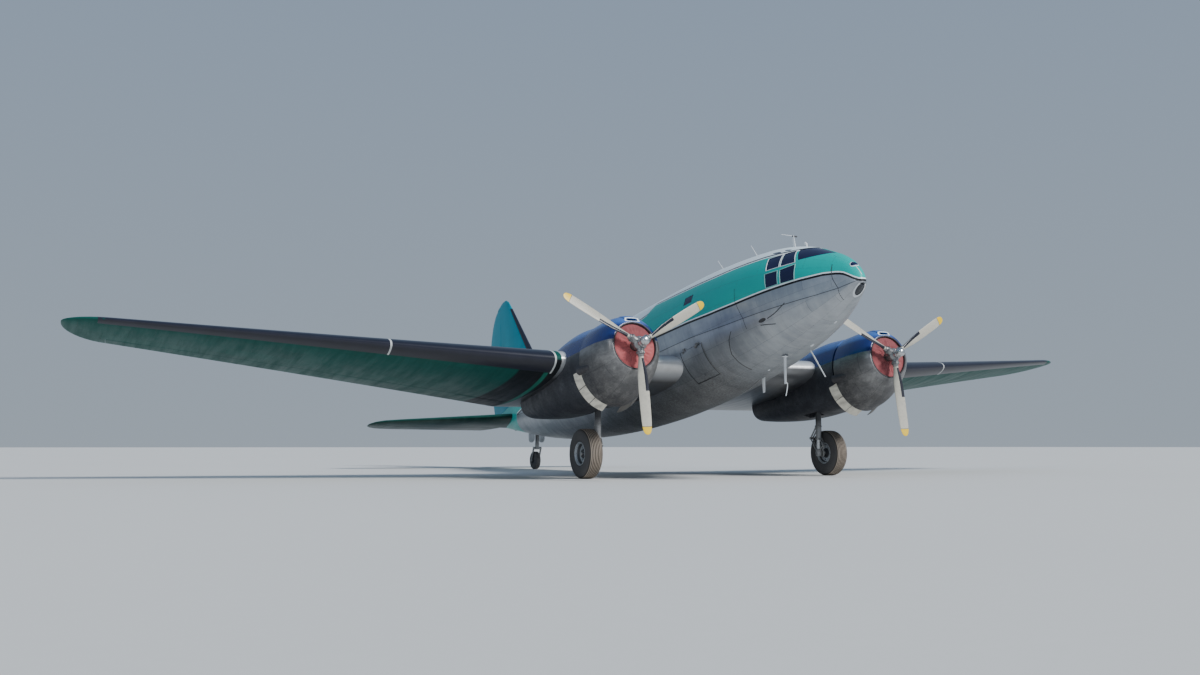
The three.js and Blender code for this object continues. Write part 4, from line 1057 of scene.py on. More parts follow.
wing_green = green_wing()
root_metal = bright_metal()
boot_black = coat("boot_rubber", (0.006, 0.007, 0.014), (0.014, 0.015, 0.028), (3.0, 4), (50.0, 3),
                  (0.24, 0.38), (0.0006, 0.6), rough_grain=True)
pale_band = frame_paint("pale_band_paint", (0.62, 0.64, 0.62), (0.48, 0.50, 0.49))
panel_places = spread(CENTRE_HALF + FIT, HALF_SPAN - TIP_ROUND, 34) + [
    HALF_SPAN - TIP_ROUND + TIP_ROUND * math.sin(math.pi / 2 * i / 16) for i in range(1, 17)]
centre_wing = lofted("centre", [wing_ring(wing_station(x)) for x in spread(-CENTRE_HALF, CENTRE_HALF, 24)])
fitted(centre_wing, "wing_centre_skin", root_metal, "wing_centre_section")

panel = raw(lofted("panel", [wing_ring(wing_station(x)) for x in panel_places]))
hinge_ends = [wing_hinge(FLAP_SPAN[0] - 0.3), wing_hinge(AILERON_SPAN[1] + 0.3)]
along = (hinge_ends[1][0] - hinge_ends[0][0]).normalized()
back = (AFT - along * along.dot(AFT)).normalized()
hinge_line = frame_at(hinge_ends[0][0], along, back, along.cross(back))
aft_part = worked(copy_of(panel), behind_hinge(hinge_ends, 0, UP), "INTERSECT")
for name, span in (("flap", FLAP_SPAN), ("aileron", AILERON_SPAN)):
    start, end = [(wing_hinge(x)[0] - hinge_ends[0][0]).length for x in span]
    surface = worked(copy_of(aft_part), block((start, -1, -0.9), (end, 3, 0.9), hinge_line), "INTERSECT")
    bay = block((start - END_GAP, -1, -0.9), (end + END_GAP, 3, 0.9), hinge_line)
    worked(panel, worked(behind_hinge(hinge_ends, COVE_GAP, UP), bay, "INTERSECT"))
    on_both_sides(surface, name + "_skin", wing_green, name, body=name + "_{side}")
drop(aft_part)
on_both_sides(panel, "wing_panel_skin", wing_green, "wing_panel")


def front_strip(start, end, reach, proud, steps):
    """A strip wrapped around the front edge of the wing."""
    rings = []
    shares = [reach * (abs(i) / 10) ** 2 * (1 if i >= 0 else -1) for i in range(-10, 11)]
    for x in spread(start, end, steps):
        station = wing_station(x)
        ring = []
        for grow in (proud, -0.004):
            row = []
            for share in shares:
                half, camber = foil(abs(share), station[4])
                sign = 1 if share >= 0 else -1
                here = on_section(station, abs(share), camber + sign * half)
                middle = on_section(station, min(0.12, reach * 1.3), camber)
                row.append(here + (here - middle).normalized() * grow)
            ring += row if grow > 0 else row[::-1]
        rings.append(ring)
    return lofted("strip", rings)


boots = together("boots", [front_strip(a + 0.02, b - 0.02, BOOT_REACH, BOOT_PROUD, 24)
                           for a, b in zip(BOOT_JOINTS, BOOT_JOINTS[1:])])
on_both_sides(boots, "wing_boots", boot_black, slot="wing_panel")
bands = together("bands", [front_strip(x - 0.022, x + 0.022, BOOT_REACH * 1.05, 0.0045, 1)
                           for x in BOOT_JOINTS[:2]])
on_both_sides(bands, "boot_bands", pale_band, slot="wing_panel")


# Tailplane and elevators
# A thin tapered plane on each side of the tail cone, with a covered elevator hinged behind it.
# Dark green all over, a shade lighter on top.
TAIL_HEIGHT, TAIL_HINGE, FIN_HINGE = 0.640, 21.650, 21.750
# Half span, leading edge, trailing edge.
TAILPLANE = [(0.150, 19.700, 22.900), (4.600, 21.000, 22.700), (5.100, 21.180, 22.600),
             (5.380, 21.400, 22.420), (5.550, 21.750, 22.150)]
TAIL_THICK = 0.11
ELEVATOR_RADII = ((0.1, 0.137), (5.0, 0.093))


def straight(rows, key, at):
    """Value of a column between the rows of a table, on straight lines."""
    for low, high in zip(rows, rows[1:]):
        if at <= high[0]:
            break
    share = (at - low[0]) / (high[0] - low[0])
    return low[key] + (high[key] - low[key]) * share


def plane_ring(lead, trail, thick, place):
    ring = []
    for i, share in foil_shares(22):
        half = foil(share, thick)[0] * (trail - lead)
        ring.append(place(lead + (trail - lead) * share, -half if i < 0 else half))
    ring.append(place(trail, foil(1, thick)[0] * (trail - lead)))
    return ring


def thin_relief(cloud, seam, dots):
    return sum_of(cloud, times(sum_of(seam, dots), 0.4))


def tail_finish(name, upper, lower, edge):
    """Paint of a tail surface: one colour above and another below."""
    material, place = new_finish(name)
    place = on_the_plane(place)
    x, aft, up = axes(place)
    span = size_of(x)
    cloud = noise(place, 1.4, 5)
    streak = past(noise(stretched(place, 5.0, 0.6, 2.0), 1.0, 4), 0.56, 0.15)
    _, seam = sheets(span, aft, 0.9, 0.5)
    colour = over(past(up, edge, 0.004), lower, upper)
    colour = over(times(cloud, 0.30), colour, (0.010, 0.035, 0.030))
    colour = over(times(streak, 0.15), colour, (0.06, 0.12, 0.11))
    colour = over(times(seam, 0.5), colour, (0.01, 0.015, 0.015))
    return finished(material, colour, between(cloud, 0.30, 0.52),
                    thin_relief(cloud, seam, rivets(span, aft, 0.05, 0.25)), (0.002, 0.7), specular=0.2)


tail_green = tail_finish("tailplane_paint", (0.001, 0.052, 0.038), (0.0, 0.026, 0.020), TAIL_HEIGHT)
places = spread(TAILPLANE[0][0], 5.1, 24) + spread(5.1, 5.55, 10, 0.6)[1:]
plane = raw(lofted("plane", [plane_ring(straight(TAILPLANE, 1, x), straight(TAILPLANE, 2, x), TAIL_THICK,
                                        lambda y, z, x=x: (x, y, TAIL_HEIGHT + z)) for x in places]))
elevator_ends = [(Vector((x, TAIL_HINGE, TAIL_HEIGHT)), r) for x, r in ELEVATOR_RADII]
inner_side = lofted("inner", [[(x, y, -0.5), (4.98, y, -0.5), (4.98, y, 1.8), (x, y, 1.8)]
                              for y, x in ((21.0, 0.33), (24.0, 0.98))])
elevator = worked(copy_of(plane), behind_hinge(elevator_ends, 0, UP), "INTERSECT")
worked(elevator, inner_side, "INTERSECT")
worked(plane, worked(behind_hinge(elevator_ends, COVE_GAP, UP), block((5.0, 18, -1), (6, 24.9, 2))))
on_both_sides(plane, "tailplane_skin", tail_green, "tailplane")
on_both_sides(elevator, "elevator_skin", tail_green, "elevator", body="elevators")
tube = rod((0.245, TAIL_HINGE, TAIL_HEIGHT), (0.5, TAIL_HINGE, TAIL_HEIGHT), 0.015)
on_both_sides(tube, "elevator_tube", fitting_steel, slot="elevator", body="elevators")


# Fin and rudder
# A tall fin that fairs into the top of the tail cone with a long root fillet, and a covered
# rudder hinged behind it. Both are teal; the fin's front edge is a black rubber boot.
# Height, leading edge, trailing edge, thickness as a share.
FIN = [(1.000, 16.900, 23.020, 0.055), (1.500, 17.300, 23.120, 0.065), (2.000, 18.050, 23.200, 0.080),
       (2.600, 18.680, 23.260, 0.090), (3.400, 19.330, 23.240, 0.090), (4.200, 19.960, 23.060, 0.090),
       (4.800, 20.430, 22.770, 0.090), (5.200, 20.740, 22.440, 0.090), (5.450, 20.950, 22.080, 0.090),
       (5.590, 21.200, 21.620, 0.090)]
FIN_BOOT, FIN_BOOT_SHARE = (2.05, 5.1), 0.045


def even(value):
    return value


def fin_row(z):
    """Edges and thickness of the fin at a height, smooth low down and straight near the tip."""
    reader = (lambda key: column(FIN, key, z, even)) if z < 5.2 else (lambda key: straight(FIN, key, z))
    lead, trail, thick = [reader(key) for key in (1, 2, 3)]
    return lead, trail - 0.006, thick


def teal_finish():
    material, place = new_finish("teal_fin_paint")
    place = on_the_plane(place)
    _, aft, up = axes(place)
    cloud = noise(place, 0.9, 4)
    streak = past(noise(stretched(place, 4.0, 2.5, 0.5), 1.0, 4), 0.58, 0.14)
    _, seam = sheets(aft, up, 0.85, 0.55)
    colour = over(cloud, (0.0, 0.29, 0.38), (0.0, 0.21, 0.29))
    colour = over(times(streak, 0.2), colour, (0.0, 0.13, 0.16))
    colour = over(times(seam, 0.45), colour, (0.01, 0.12, 0.11))
    return finished(material, colour, between(cloud, 0.30, 0.48),
                    thin_relief(cloud, seam, rivets(aft, up, 0.05, 0.275)), (0.002, 0.7), specular=0.2)


fin_teal = teal_finish()
fin_whole = raw(lofted("fin", [plane_ring(*fin_row(z), lambda y, x, z=z: (x, y, z))
                               for z in spread(1.0, 5.2, 34) + spread(5.2, 5.59, 10, 0.7)[1:]]))


def fin_hinge(z):
    return Vector((0, FIN_HINGE, z)), 0.187 - 0.0225 * (z - 1)


rudder = worked(copy_of(fin_whole), behind_hinge([fin_hinge(0.9), fin_hinge(5.33)], 0, ACROSS), "INTERSECT")
worked(rudder, lofted("room", [hull_ring(y, -0.028) for y in spread(JOINT_TAIL, FUSELAGE_END, 34)]))
worked(fin_whole, behind_hinge([fin_hinge(0.8), fin_hinge(5.35)], COVE_GAP, ACROSS))
fitted(fin_whole, "fin_skin", fin_teal, "fin")
fitted(rudder, "rudder_skin", fin_teal, "rudder", body="rudder")
fitted(rod((0, FIN_HINGE, 1.12), (0, FIN_HINGE, 1.4), 0.015), "rudder_tube", fitting_steel, slot="rudder",
       body="rudder")
boot_shares = [(i, FIN_BOOT_SHARE * (abs(i) / 8) ** 2) for i in range(-8, 9)]
boot_rings = []
for z in spread(*FIN_BOOT, 24):
    lead, trail, thick = fin_row(z)
    chord, row = trail - lead, []
    for grow in (0.004, -0.006):
        part = [((foil(share, thick)[0] * chord + grow) * (-1 if i <= 0 else 1),
                 lead + share * chord - grow * (1 - share / FIN_BOOT_SHARE), z) for i, share in boot_shares]
        row += part if grow > 0 else part[::-1]
    boot_rings.append(row)
fitted(lofted("fin_boot", boot_rings), "fin_boot", boot_black, slot="fin")


# Tail cone
# The pointed rear end of the fuselage, riveted sheet over frames, with a well for the tail wheel
# and a light door hanging open on each side of it.
TAIL_SWIVEL, TAIL_AXLE = 12.190, 12.360
TAIL_LEG_TOP, FORK_TOP = 1.560, 0.960
stand = Matrix.Translation((0, axle.y, 0))
into_hull = tilt.inverted() @ stand
tail_well = block((-0.19, TAIL_SWIVEL - 0.23, 0.8), (0.19, TAIL_SWIVEL + 0.33, TAIL_LEG_TOP), into_hull)
tail_rings = [hull_ring(y) for y in spread(JOINT_TAIL + FIT, FUSELAGE_END, 34)]
tail_cone = worked(lofted("tail_cone", tail_rings), tail_well)
fitted(tail_cone, "tail_cone_skin", hull_paint, "tail_cone")
for side, sign in SIDES:
    rings = []
    for i in range(13):
        y = TAIL_SWIVEL - 0.22 + 0.54 * i / 12
        low = 0.985 + 0.10 * abs(i / 6 - 1) ** 3
        bow = sign * (0.200 + 0.010 * math.sin(math.pi * i / 12))
        rings.append([(bow - sign * 0.006, y, low), (bow, y, low - 0.004), (bow + sign * 0.006, y, low),
                      (bow + sign * 0.006, y, 1.40), (bow - sign * 0.006, y, 1.40)])
    door = lofted("tail_door", rings)
    door.transform(into_hull)
    fitted(door, "tail_door_" + side, hull_paint, slot="tail_cone")


# Nacelles
# Long bodies of riveted sheet on the wing that carry the engine and house the folded wheel, boxy
# below where the doors close. They are dark blue above, brighter along the top as a painted
# reflection of the sky, and blue-black below with soot and painted shade.
ENGINE_X, THRUST = 3.940, -0.835
FIREWALL, COWL_FRONT, COWL_REAR = 5.460, 4.040, 5.270
# Aft of the nose, top, bottom, half width.
NACELLE = [(5.460, 0.052, -1.960, 0.830), (6.300, 0.130, -1.900, 0.860), (7.200, 0.080, -1.880, 0.850),
           (8.200, -0.110, -1.800, 0.790), (9.200, -0.350, -1.640, 0.690), (9.900, -0.600, -1.490, 0.590)]
NACELLE_BOX, OVAL_STEPS = 0.72, 72
# The brightest blue is a painted reflection of the sky along the tops.
NAVY, NAVY_SHADE, BLUE_PAINTED_SKY = (0.012, 0.028, 0.150), (0.016, 0.028, 0.105), (0.055, 0.155, 0.470)


def oval_ring(y, top, bottom, half, inset=0.0, lower=1.0):
    """An oval around the engine's line; a lower power below one makes the lower half boxy."""
    ring = []
    for t in turns(OVAL_STEPS):
        c, s = math.cos(t), math.sin(t)
        power = lower if s < 0 else 1
        ring.append((ENGINE_X + (half - inset) * math.copysign(abs(c) ** power, c), y, (top + bottom) / 2
                     + ((top - bottom) / 2 - inset) * math.copysign(abs(s) ** power, s)))
    return ring


def smooth_row(rows, at):
    return [column(rows, key, at, even) for key in (1, 2, 3)]


def engine_paint(name, navy_from, darkening_top, bare):
    """Paint and metal around an engine: navy over the top with a painted sky reflection, bare metal below
    with soot and painted shade.
    """
    material, place = new_finish(name)
    place = on_the_plane(place)
    x, aft, up = axes(place)
    side = sum_of(size_of(x), -ENGINE_X)
    around = wire("Math", side, sum_of(up, -THRUST), operation="ARCTAN2")
    tone, seam = sheets(aft, around, 0.62, 0.70, 0.0035)
    patch = past(noise(place, 2.6, 5, 0.7), 0.46, 0.16)
    # Darker toward the bottom and toward the rear: soot, and painted shade under the engine.
    low = times(ramp(up, darkening_top, darkening_top - 0.65), between(patch, 0.55, 1.0))
    darkening = times(ramp(aft, 4.10, 5.0, 0.20, 0.95), low)
    colour, rough, soiled_and_shaded = worn_metal(place, tone, darkening)
    colour = over(0.55, colour, bare)
    stain = past(noise(stretched(place, 3.0, 1.0, 3.0), 1.0, 5, 0.75), 0.47, 0.10)
    colour = over(times(stain, 0.5), colour, (0.055, 0.055, 0.060))
    # Where soot and painted shade lie the metal turns blue-black.
    colour = over(times(soiled_and_shaded, 0.95), colour, (0.010, 0.012, 0.020))
    wave = sum_of(up, times(noise(place, 1.2, 2), 0.05))
    navy = past(wave, navy_from, 0.012)
    # Painted reflection: along the top the navy turns a brighter sky blue.
    blue = over(past(wave, navy_from + 0.42, 0.06), NAVY, BLUE_PAINTED_SKY)
    blue = over(times(noise(place, 2.0, 5), 0.45), blue, NAVY_SHADE)
    colour = over(navy, colour, blue)
    # The mouth of the air scoop has a white edge.
    within = times(past(up, -0.216), ramp(size_of(side), 0.205, 0.198))
    colour = over(times(ramp(aft, 4.118, 4.112), within), colour, WHITE)
    colour = over(times(seam, 0.6), colour, (0.010, 0.010, 0.014))
    dots = rivet_grid(aft, around, (0.04, 0.35), (0.05, 0.31))
    metallic = times(between(navy, 0.85, 0.0), between(soiled_and_shaded, 1.0, 0.15))
    return finished(material, colour, between(navy, sum_of(rough, 0.04), 0.26),
                    sheet_relief(place, seam, dots, 3.5, 1.2, -0.6), (0.003, 0.8), metallic)


nacelle_paint = engine_paint("nacelle_paint", -0.62, -0.45, (0.014, 0.018, 0.040))
nacelle = raw(lofted("nacelle", [oval_ring(y, *smooth_row(NACELLE, y), lower=NACELLE_BOX)
                                 for y in spread(FIREWALL, 9.9, 44)]))
WHEEL_X, LEG_X, LEG_TOP = 3.950, 3.600, 2.150
worked(nacelle, block((LEG_X - 0.15, -0.13, 1.3), (LEG_X + 0.14, 0.52, LEG_TOP), into_hull))
on_both_sides(nacelle, "nacelle_skin", nacelle_paint, "nacelle")


# Engine cowlings
# A pressed ring of sheet around each engine with a rolled lip painted dark as painted shade, an air
# scoop on top, a deep chin over the oil cooler and an exhaust outlet low on each side.
COWLING = [(4.040, -0.210, -1.460, 0.625), (4.090, -0.145, -1.535, 0.690), (4.220, -0.060, -1.645, 0.770),
           (4.470, 0.008, -1.825, 0.865), (4.820, 0.042, -1.995, 0.925), (5.270, 0.048, -2.095, 0.940)]
COWL_WALL = 0.055
COWL_THROAT = [(4.033, 0.600), (4.036, 0.575), (4.050, 0.560), (4.080, 0.557), (4.190, 0.557)]
SCOOP_MOUTH = [(4.0, 0.172, -0.164, 0.044), (4.36, 0.130, -0.166, 0.032)]
SCOOP = [(4.095, -0.108, 0.190), (4.150, -0.074, 0.200), (4.260, -0.026, 0.200), (4.400, 0.010, 0.180),
         (4.540, 0.030, 0.145), (4.640, 0.034, 0.100)]
cowl_paint = engine_paint("cowling_metal_and_paint", -0.66, -0.60, (0.27, 0.245, 0.215))
cowl_places = [4.040, 4.047, 4.060, 4.075] + spread(4.090, COWL_REAR, 30)
outside = [oval_ring(y, *smooth_row(COWLING, y)) for y in cowl_places]
inside = [oval_ring(y, *smooth_row(COWLING, y), inset=COWL_WALL) for y in spread(4.200, COWL_REAR, 16)]
throat = [[(ENGINE_X + r * math.cos(t), y, THRUST + r * math.sin(t)) for t in turns(OVAL_STEPS)]
          for y, r in COWL_THROAT]
scoop = lofted("scoop", [[(ENGINE_X + half * math.cos(t), y, top - 0.045 + 0.045 * math.sin(t) ** 0.6)
                          for t in turns(32)[:17]]
                         + [(ENGINE_X - half, y, -0.26), (ENGINE_X + half, y, -0.26)]
                         for y, top, half in SCOOP])
cowl = worked(closed("cowl", outside + inside[::-1] + throat[::-1]), scoop, "UNION")
mouth_shape = [(math.copysign(abs(math.cos(t)) ** 0.45, math.cos(t)),
                math.copysign(abs(math.sin(t)) ** 0.6, math.sin(t))) for t in turns(32, 0.5)]
worked(cowl, lofted("mouth", [[(ENGINE_X + half * c, y, middle + high * s) for c, s in mouth_shape]
                              for y, half, middle, high in SCOOP_MOUTH]))
on_both_sides(cowl, "cowling_skin", cowl_paint, "cowling")

# Near black metal: soot on the exhaust outlets, and painted shade on the cowling lip.
soot_and_shade_metal = coat("sooty_metal_and_painted_shade", (0.030, 0.030, 0.034), (0.110, 0.105, 0.110), (9.0, 5),
                   (60.0, 3), (0.5, 0.8), (0.001, 1.0), metallic=0.6, rough_grain=True)
# The lip is painted near black as painted shade in the gap around the cover.
lip = turned("lip", [(COWL_FRONT - 0.020 + 0.045 * (1 - math.cos(t)), 0.583 + 0.026 * math.sin(t))
                     for t in turns(28)], 128)
lip.transform(Matrix.Translation((ENGINE_X, 0, THRUST)))
on_both_sides(lip, "cowling_lip", soot_and_shade_metal, slot="cowling")
for name, way in (("outer", 1), ("inner", -1)):
    stub = turned("stub", [(0, 0.070), (0.10, 0.092), (0.50, 0.104), (0.535, 0.107), (0.545, 0.101),
                           (0.540, 0.088), (0.40, 0.080), (0.0, 0.060)], 40)
    stub.transform(pointing((ENGINE_X + way * 0.820, 4.800, -1.190), (way * 0.105, 0.535, -0.010)))
    on_both_sides(stub, "exhaust_" + name, soot_and_shade_metal, slot="cowling")


# Cowl flaps
# A ring of thin gills behind the lower part of each cowling, each hinged at its front edge and
# standing open, with narrow gaps between them. Cream paint, worn, with near-black painted shade
# over the gills on the port-ward side of each engine.
GILL_COUNT, GILL_LONG, GILL_SPREAD = 7, 0.268, 0.105
GILL_START, GILL_END = math.radians(196), math.radians(352)


def worn_cream():
    material, place = new_finish("worn_cream_paint")
    cloud = noise(place, 3.0, 5)
    streak = past(noise(stretched(place, 7.0, 1.2, 7.0), 1.0, 4), 0.53, 0.12)
    chips = noise(place, 30.0, 3, 0.8)
    tone = over(cloud, (0.80, 0.76, 0.64), (0.62, 0.58, 0.48))
    tone = over(times(streak, 0.5), tone, (0.20, 0.18, 0.15))
    tone = over(past(chips, 0.72, 0.02), tone, (0.12, 0.11, 0.10))
    # Painted shade: on the port-ward side of each engine the gills are painted near black.
    x, _, _ = axes(place)
    for engine in (-ENGINE_X, ENGINE_X):
        gill_painted_shade = times(past(x, engine + 0.10), ramp(x, engine + 1.3, engine + 1.2, 0.0, 0.9))
        tone = over(gill_painted_shade, tone, (0.035, 0.032, 0.030))
    return finished(material, tone, between(cloud, 0.40, 0.62), chips, (0.0008, 1.0))


cream_paint = worn_cream()
gills = []
for n in [n for n in range(GILL_COUNT) if n != GILL_COUNT // 2]:
    step = (GILL_END - GILL_START) / GILL_COUNT
    angles = [GILL_START + step * (n + 0.02 + 0.96 * i / 8) for i in range(9)]
    rings = []
    for j in range(9):
        share = j / 8
        y, wide = COWL_REAR + FIT + GILL_LONG * share, GILL_SPREAD * share
        top, bottom, half = 0.048, -2.095 - wide, 0.940 + wide * 0.6
        ring = []
        for inset in (0.0, 0.012):
            row = [(ENGINE_X + (half - inset) * math.cos(t), y,
                    (top + bottom) / 2 + ((top - bottom) / 2 - inset) * math.sin(t)) for t in angles]
            ring += row if not inset else row[::-1]
        rings.append(ring)
    gills.append(lofted("gill", rings))
on_both_sides(together("gills", gills), "cowl_flap_ring", cream_paint, "cowl_flaps")


# Radial engines
# Cast alloy engines behind the cowling mouth, dark with oil. The covers hide them, so the plain CAD
# solids stay and only get their finish.
def oily_casting():
    material, place = new_finish("oily_engine_casting")
    cloud = noise(place, 7.0, 5)
    fins = noise(stretched(place, 1.0, 60.0, 1.0), 1.0, 1)
    tone = over(cloud, (0.035, 0.034, 0.033), (0.16, 0.155, 0.15))
    return finished(material, tone, between(cloud, 0.35, 0.65), fins, (0.004, 1.0), 0.70)


engine_metal = oily_casting()
for side, _ in SIDES:
    repainted("engine_" + side, engine_metal)


# Intake covers
# Padded discs of faded red canvas, sewn in panels around the propeller shaft and pushed into the mouth
# of each cowling. The slack cloth lies in folds. Painted shadow darkens the top of each cover, and
# painted shade darkens the whole port cover to maroon.
COVER_OUT, COVER_IN, COVER_FRONT, PIPING = 0.549, 0.122, 0.022, 0.006
COVER_PANELS, COVER_AROUND, COVER_ACROSS = 6, 192, 26


def red_canvas(name, shade):
    material, place = new_finish(name)
    x, _, up = axes(place)
    weave = sum_of(near_grid(x, 0.0042), near_grid(up, 0.0042))
    stain = noise(place, 11.0, 4, 0.7)
    tone = over(noise(place, 3.5, 5), (0.40, 0.062, 0.066), (0.53, 0.125, 0.120))
    tone = over(times(noise(place, 1.3, 2), 0.5), tone, (0.34, 0.09, 0.09))
    tone = over(times(past(stain, 0.58, 0.12), 0.35), tone, (0.19, 0.07, 0.07))
    # Painted shadow: darker toward the top, where the cowling lip shades the cover, and darker all over on
    # the port cover as painted shade.
    tone = over(ramp(up, -0.05, 0.40, shade, 0.62), tone, (0.115, 0.028, 0.036))
    height = sum_of(times(weave, 60.0), times(stain, 2.0))
    return finished(material, tone, between(stain, 0.74, 0.92), height, (0.0012, 0.8), sheen=0.15)


canvas = {"port": red_canvas("faded_canvas_in_painted_shade", 0.40), "starboard": red_canvas("faded_red_canvas", 0.0)}


def cover_mesh(turn):
    """A sewn ring of padded cloth with a seam between panels and folds running from them."""
    rings = []
    for t in turns(COVER_AROUND):
        seam = abs(math.sin(COVER_PANELS * (t + turn) / 2)) ** 0.55
        ring = []
        for s in spread(0, 1, COVER_ACROSS):
            belly = math.sin(math.pi * s) ** 0.6
            folds = (0.0055 * math.sin(t * 17 + 5.0 * s + math.sin(t * 3 + turn) * 2.0)
                     + 0.0035 * math.sin(t * 29 - 9.0 * s + 1.3) + 0.004 * math.sin(t * 5 + s * 14.0 + turn))
            sag = 0.010 * math.sin(t - 1.2)
            out = -0.010 - (0.036 * seam + folds + sag) * belly
            ring.append((COVER_IN + (COVER_OUT - COVER_IN) * s, out))
        back = [(COVER_OUT, 0.030), (COVER_OUT * 0.7, 0.036), (COVER_IN + 0.05, 0.034), (COVER_IN, 0.026)]
        edge = [(COVER_OUT + 0.004, 0.004), (COVER_OUT + 0.005, 0.016)]
        rings.append([(r * math.cos(t), y, r * math.sin(t)) for r, y in ring + edge + back])
    return closed("cover", rings)


for side, sign in SIDES:
    cover = raw(cover_mesh(0.35 if sign > 0 else 0.9))
    where = tilt @ Matrix.Translation((sign * ENGINE_X, COWL_FRONT + COVER_FRONT + 0.022, THRUST))
    fitted(cover, "intake_cover_pad_" + side, canvas[side], "intake_cover_" + side, where=where, angle=60)
    edge = [(COVER_OUT - PIPING * (1 - math.cos(a)), PIPING * (2 + math.sin(a))) for a in turns(10)]
    piping = closed("piping", [[ray(t) * out - AFT * ahead for out, ahead in edge] for t in turns(128)])
    fitted(piping, "intake_cover_edge_" + side, canvas[side], slot="intake_cover_" + side, where=where)


# Propellers
# Three forged alloy blades in a steel hub with clamps and a polished dome in front. The blades are
# pale grey-cream with yellow tips, and black rubber covers the inner part of each front edge.
BLADE_PLANE = 3.800
BLADE_ANGLES = (-90, 30, 150)
# Radius, chord, thickness, pitch in degrees.
BLADE = [(0.110, 0.118, 0.108, 62), (0.300, 0.124, 0.104, 53), (0.420, 0.146, 0.095, 46),
         (0.600, 0.196, 0.078, 37), (0.800, 0.236, 0.062, 29), (1.050, 0.256, 0.048, 23),
         (1.300, 0.260, 0.038, 18), (1.600, 0.258, 0.030, 15), (1.800, 0.252, 0.024, 13),
         (1.950, 0.244, 0.020, 12), (2.080, 0.226, 0.016, 11), (2.160, 0.190, 0.013, 10),
         (2.205, 0.146, 0.011, 10), (2.232, 0.086, 0.009, 10), (2.240, 0.030, 0.006, 10)]
BLADE_ROUND, BOOT_IN, BOOT_OUT = 36, 0.36, 1.16
TIP_PAINT, TIP_LINE = 2.055, 2.042


def radius_of(first, second):
    """Distance from an axis, from the places across it."""
    return wire("Math", sum_of(times(first, first), times(second, second)), 0.5, operation="POWER")


def yellow_tips(place, tone):
    x, _, up = axes(place)
    radius = radius_of(x, up)
    tone = over(past(radius, TIP_LINE, 0.003), tone, (0.05, 0.05, 0.045))
    return over(past(radius, TIP_PAINT, 0.003), tone, (0.80, 0.52, 0.006))


blade_cream = coat("pale_blade_paint", (0.53, 0.505, 0.42), (0.38, 0.36, 0.30), (3.2, 5),
                   (16.0, 4, 0.7), (0.30, 0.50), (0.0006, 0.6), (0.60, 0.08, 0.4, (0.26, 0.25, 0.23)),
                   then=yellow_tips)
hub_steel = coat("polished_hub_steel", (0.46, 0.47, 0.48), (0.68, 0.68, 0.67), (10.0, 4), (60.0, 2),
                 (0.14, 0.32), (0.0003, 0.5), (0.66, 0.06, 1.0, (0.20, 0.19, 0.18)), 0.95)


def blade_mesh(angle):
    """One blade standing out from the hub, with its boot on faces of the second material."""
    radii = sorted(set([row[0] for row in BLADE] + spread(0.11, 2.08, 44)))
    rings = []
    for radius in radii:
        chord, thick, pitch = [straight(BLADE, key, radius) for key in (1, 2, 3)]
        turn = math.radians(pitch)
        flat = 0.35 * min(1.0, max(0.0, (radius - 0.35) / 0.4))
        ring = []
        for t in turns(BLADE_ROUND):
            reach = chord / 2 * math.cos(t)
            out = thick / 2 * math.sin(t) * (1 - flat if math.sin(t) > 0 else 1)
            ring.append((reach * math.cos(turn) - out * math.sin(turn),
                         reach * math.sin(turn) + out * math.cos(turn), radius))
        rings.append(ring)
    mesh = lofted("blade", rings)
    mesh.materials.append(blade_cream)
    mesh.materials.append(boot_black)
    for face in mesh.polygons:
        front = all(abs(v % BLADE_ROUND - BLADE_ROUND / 2) <= 7 for v in face.vertices)
        if front and BOOT_IN < radii[min(face.vertices) // BLADE_ROUND] < BOOT_OUT:
            face.material_index = 1
    mesh.transform(Matrix.Rotation(math.radians(90 - angle), 4, "Y"))
    return mesh


def spoke(angle, start, end, radius, tip=None):
    return rod(ray(angle) * start, ray(angle) * end, radius, tip, 36)


hub_parts = [turned("barrel", [(-0.095, 0), (-0.095, 0.110), (-0.070, 0.150), (-0.030, 0.178),
                               (0.030, 0.183), (0.075, 0.170), (0.100, 0.140), (0.140, 0.108),
                               (0.318, 0.108), (0.318, 0)], 72)]
for angle in [math.radians(angle) for angle in BLADE_ANGLES]:
    hub_parts += [spoke(angle, 0.10, 0.225, 0.096), spoke(angle, 0.222, 0.252, 0.108),
                  spoke(angle, 0.256, 0.276, 0.102), spoke(angle, 0.276, 0.335, 0.082, 0.070)]
    side = ray(angle + math.pi / 2)
    for turn in turns(6):
        out = side * math.cos(turn) * 0.100 + AFT * math.sin(turn) * 0.100
        hub_parts.append(rod(ray(angle) * 0.214 + out, ray(angle) * 0.262 + out, 0.011, steps=10))
dome_parts = [turned("dome", [(-0.370, 0), (-0.370, 0.030), (-0.366, 0.052), (-0.357, 0.074), (-0.342, 0.092),
                              (-0.318, 0.107), (-0.285, 0.115), (-0.180, 0.117), (-0.176, 0.126),
                              (-0.150, 0.128), (-0.145, 0.120), (-0.090, 0.120), (-0.090, 0)], 72)]
dome_parts += [rod(ray(t) * 0.122 - AFT * 0.192, ray(t) * 0.122 - AFT * 0.140, 0.008, steps=8)
               for t in turns(12, 0.5)]
hub_mesh, dome_mesh = together("hub", hub_parts), together("dome", dome_parts)
blades_mesh = together("blades", [blade_mesh(angle) for angle in BLADE_ANGLES])
for side, sign in SIDES:
    where = tilt @ Matrix.Translation((sign * ENGINE_X, BLADE_PLANE, THRUST))
    body = "propeller_" + side
    fitted(blades_mesh.copy(), "propeller_blades_" + side, [blade_cream, boot_black], body, body=body,
           where=where, angle=50)
    for name, mesh, material in (("hub", hub_mesh, fitting_steel), ("dome", dome_mesh, hub_steel)):
        fitted(mesh.copy(), f"propeller_{name}_{side}", material, slot=body, body=body, where=where)


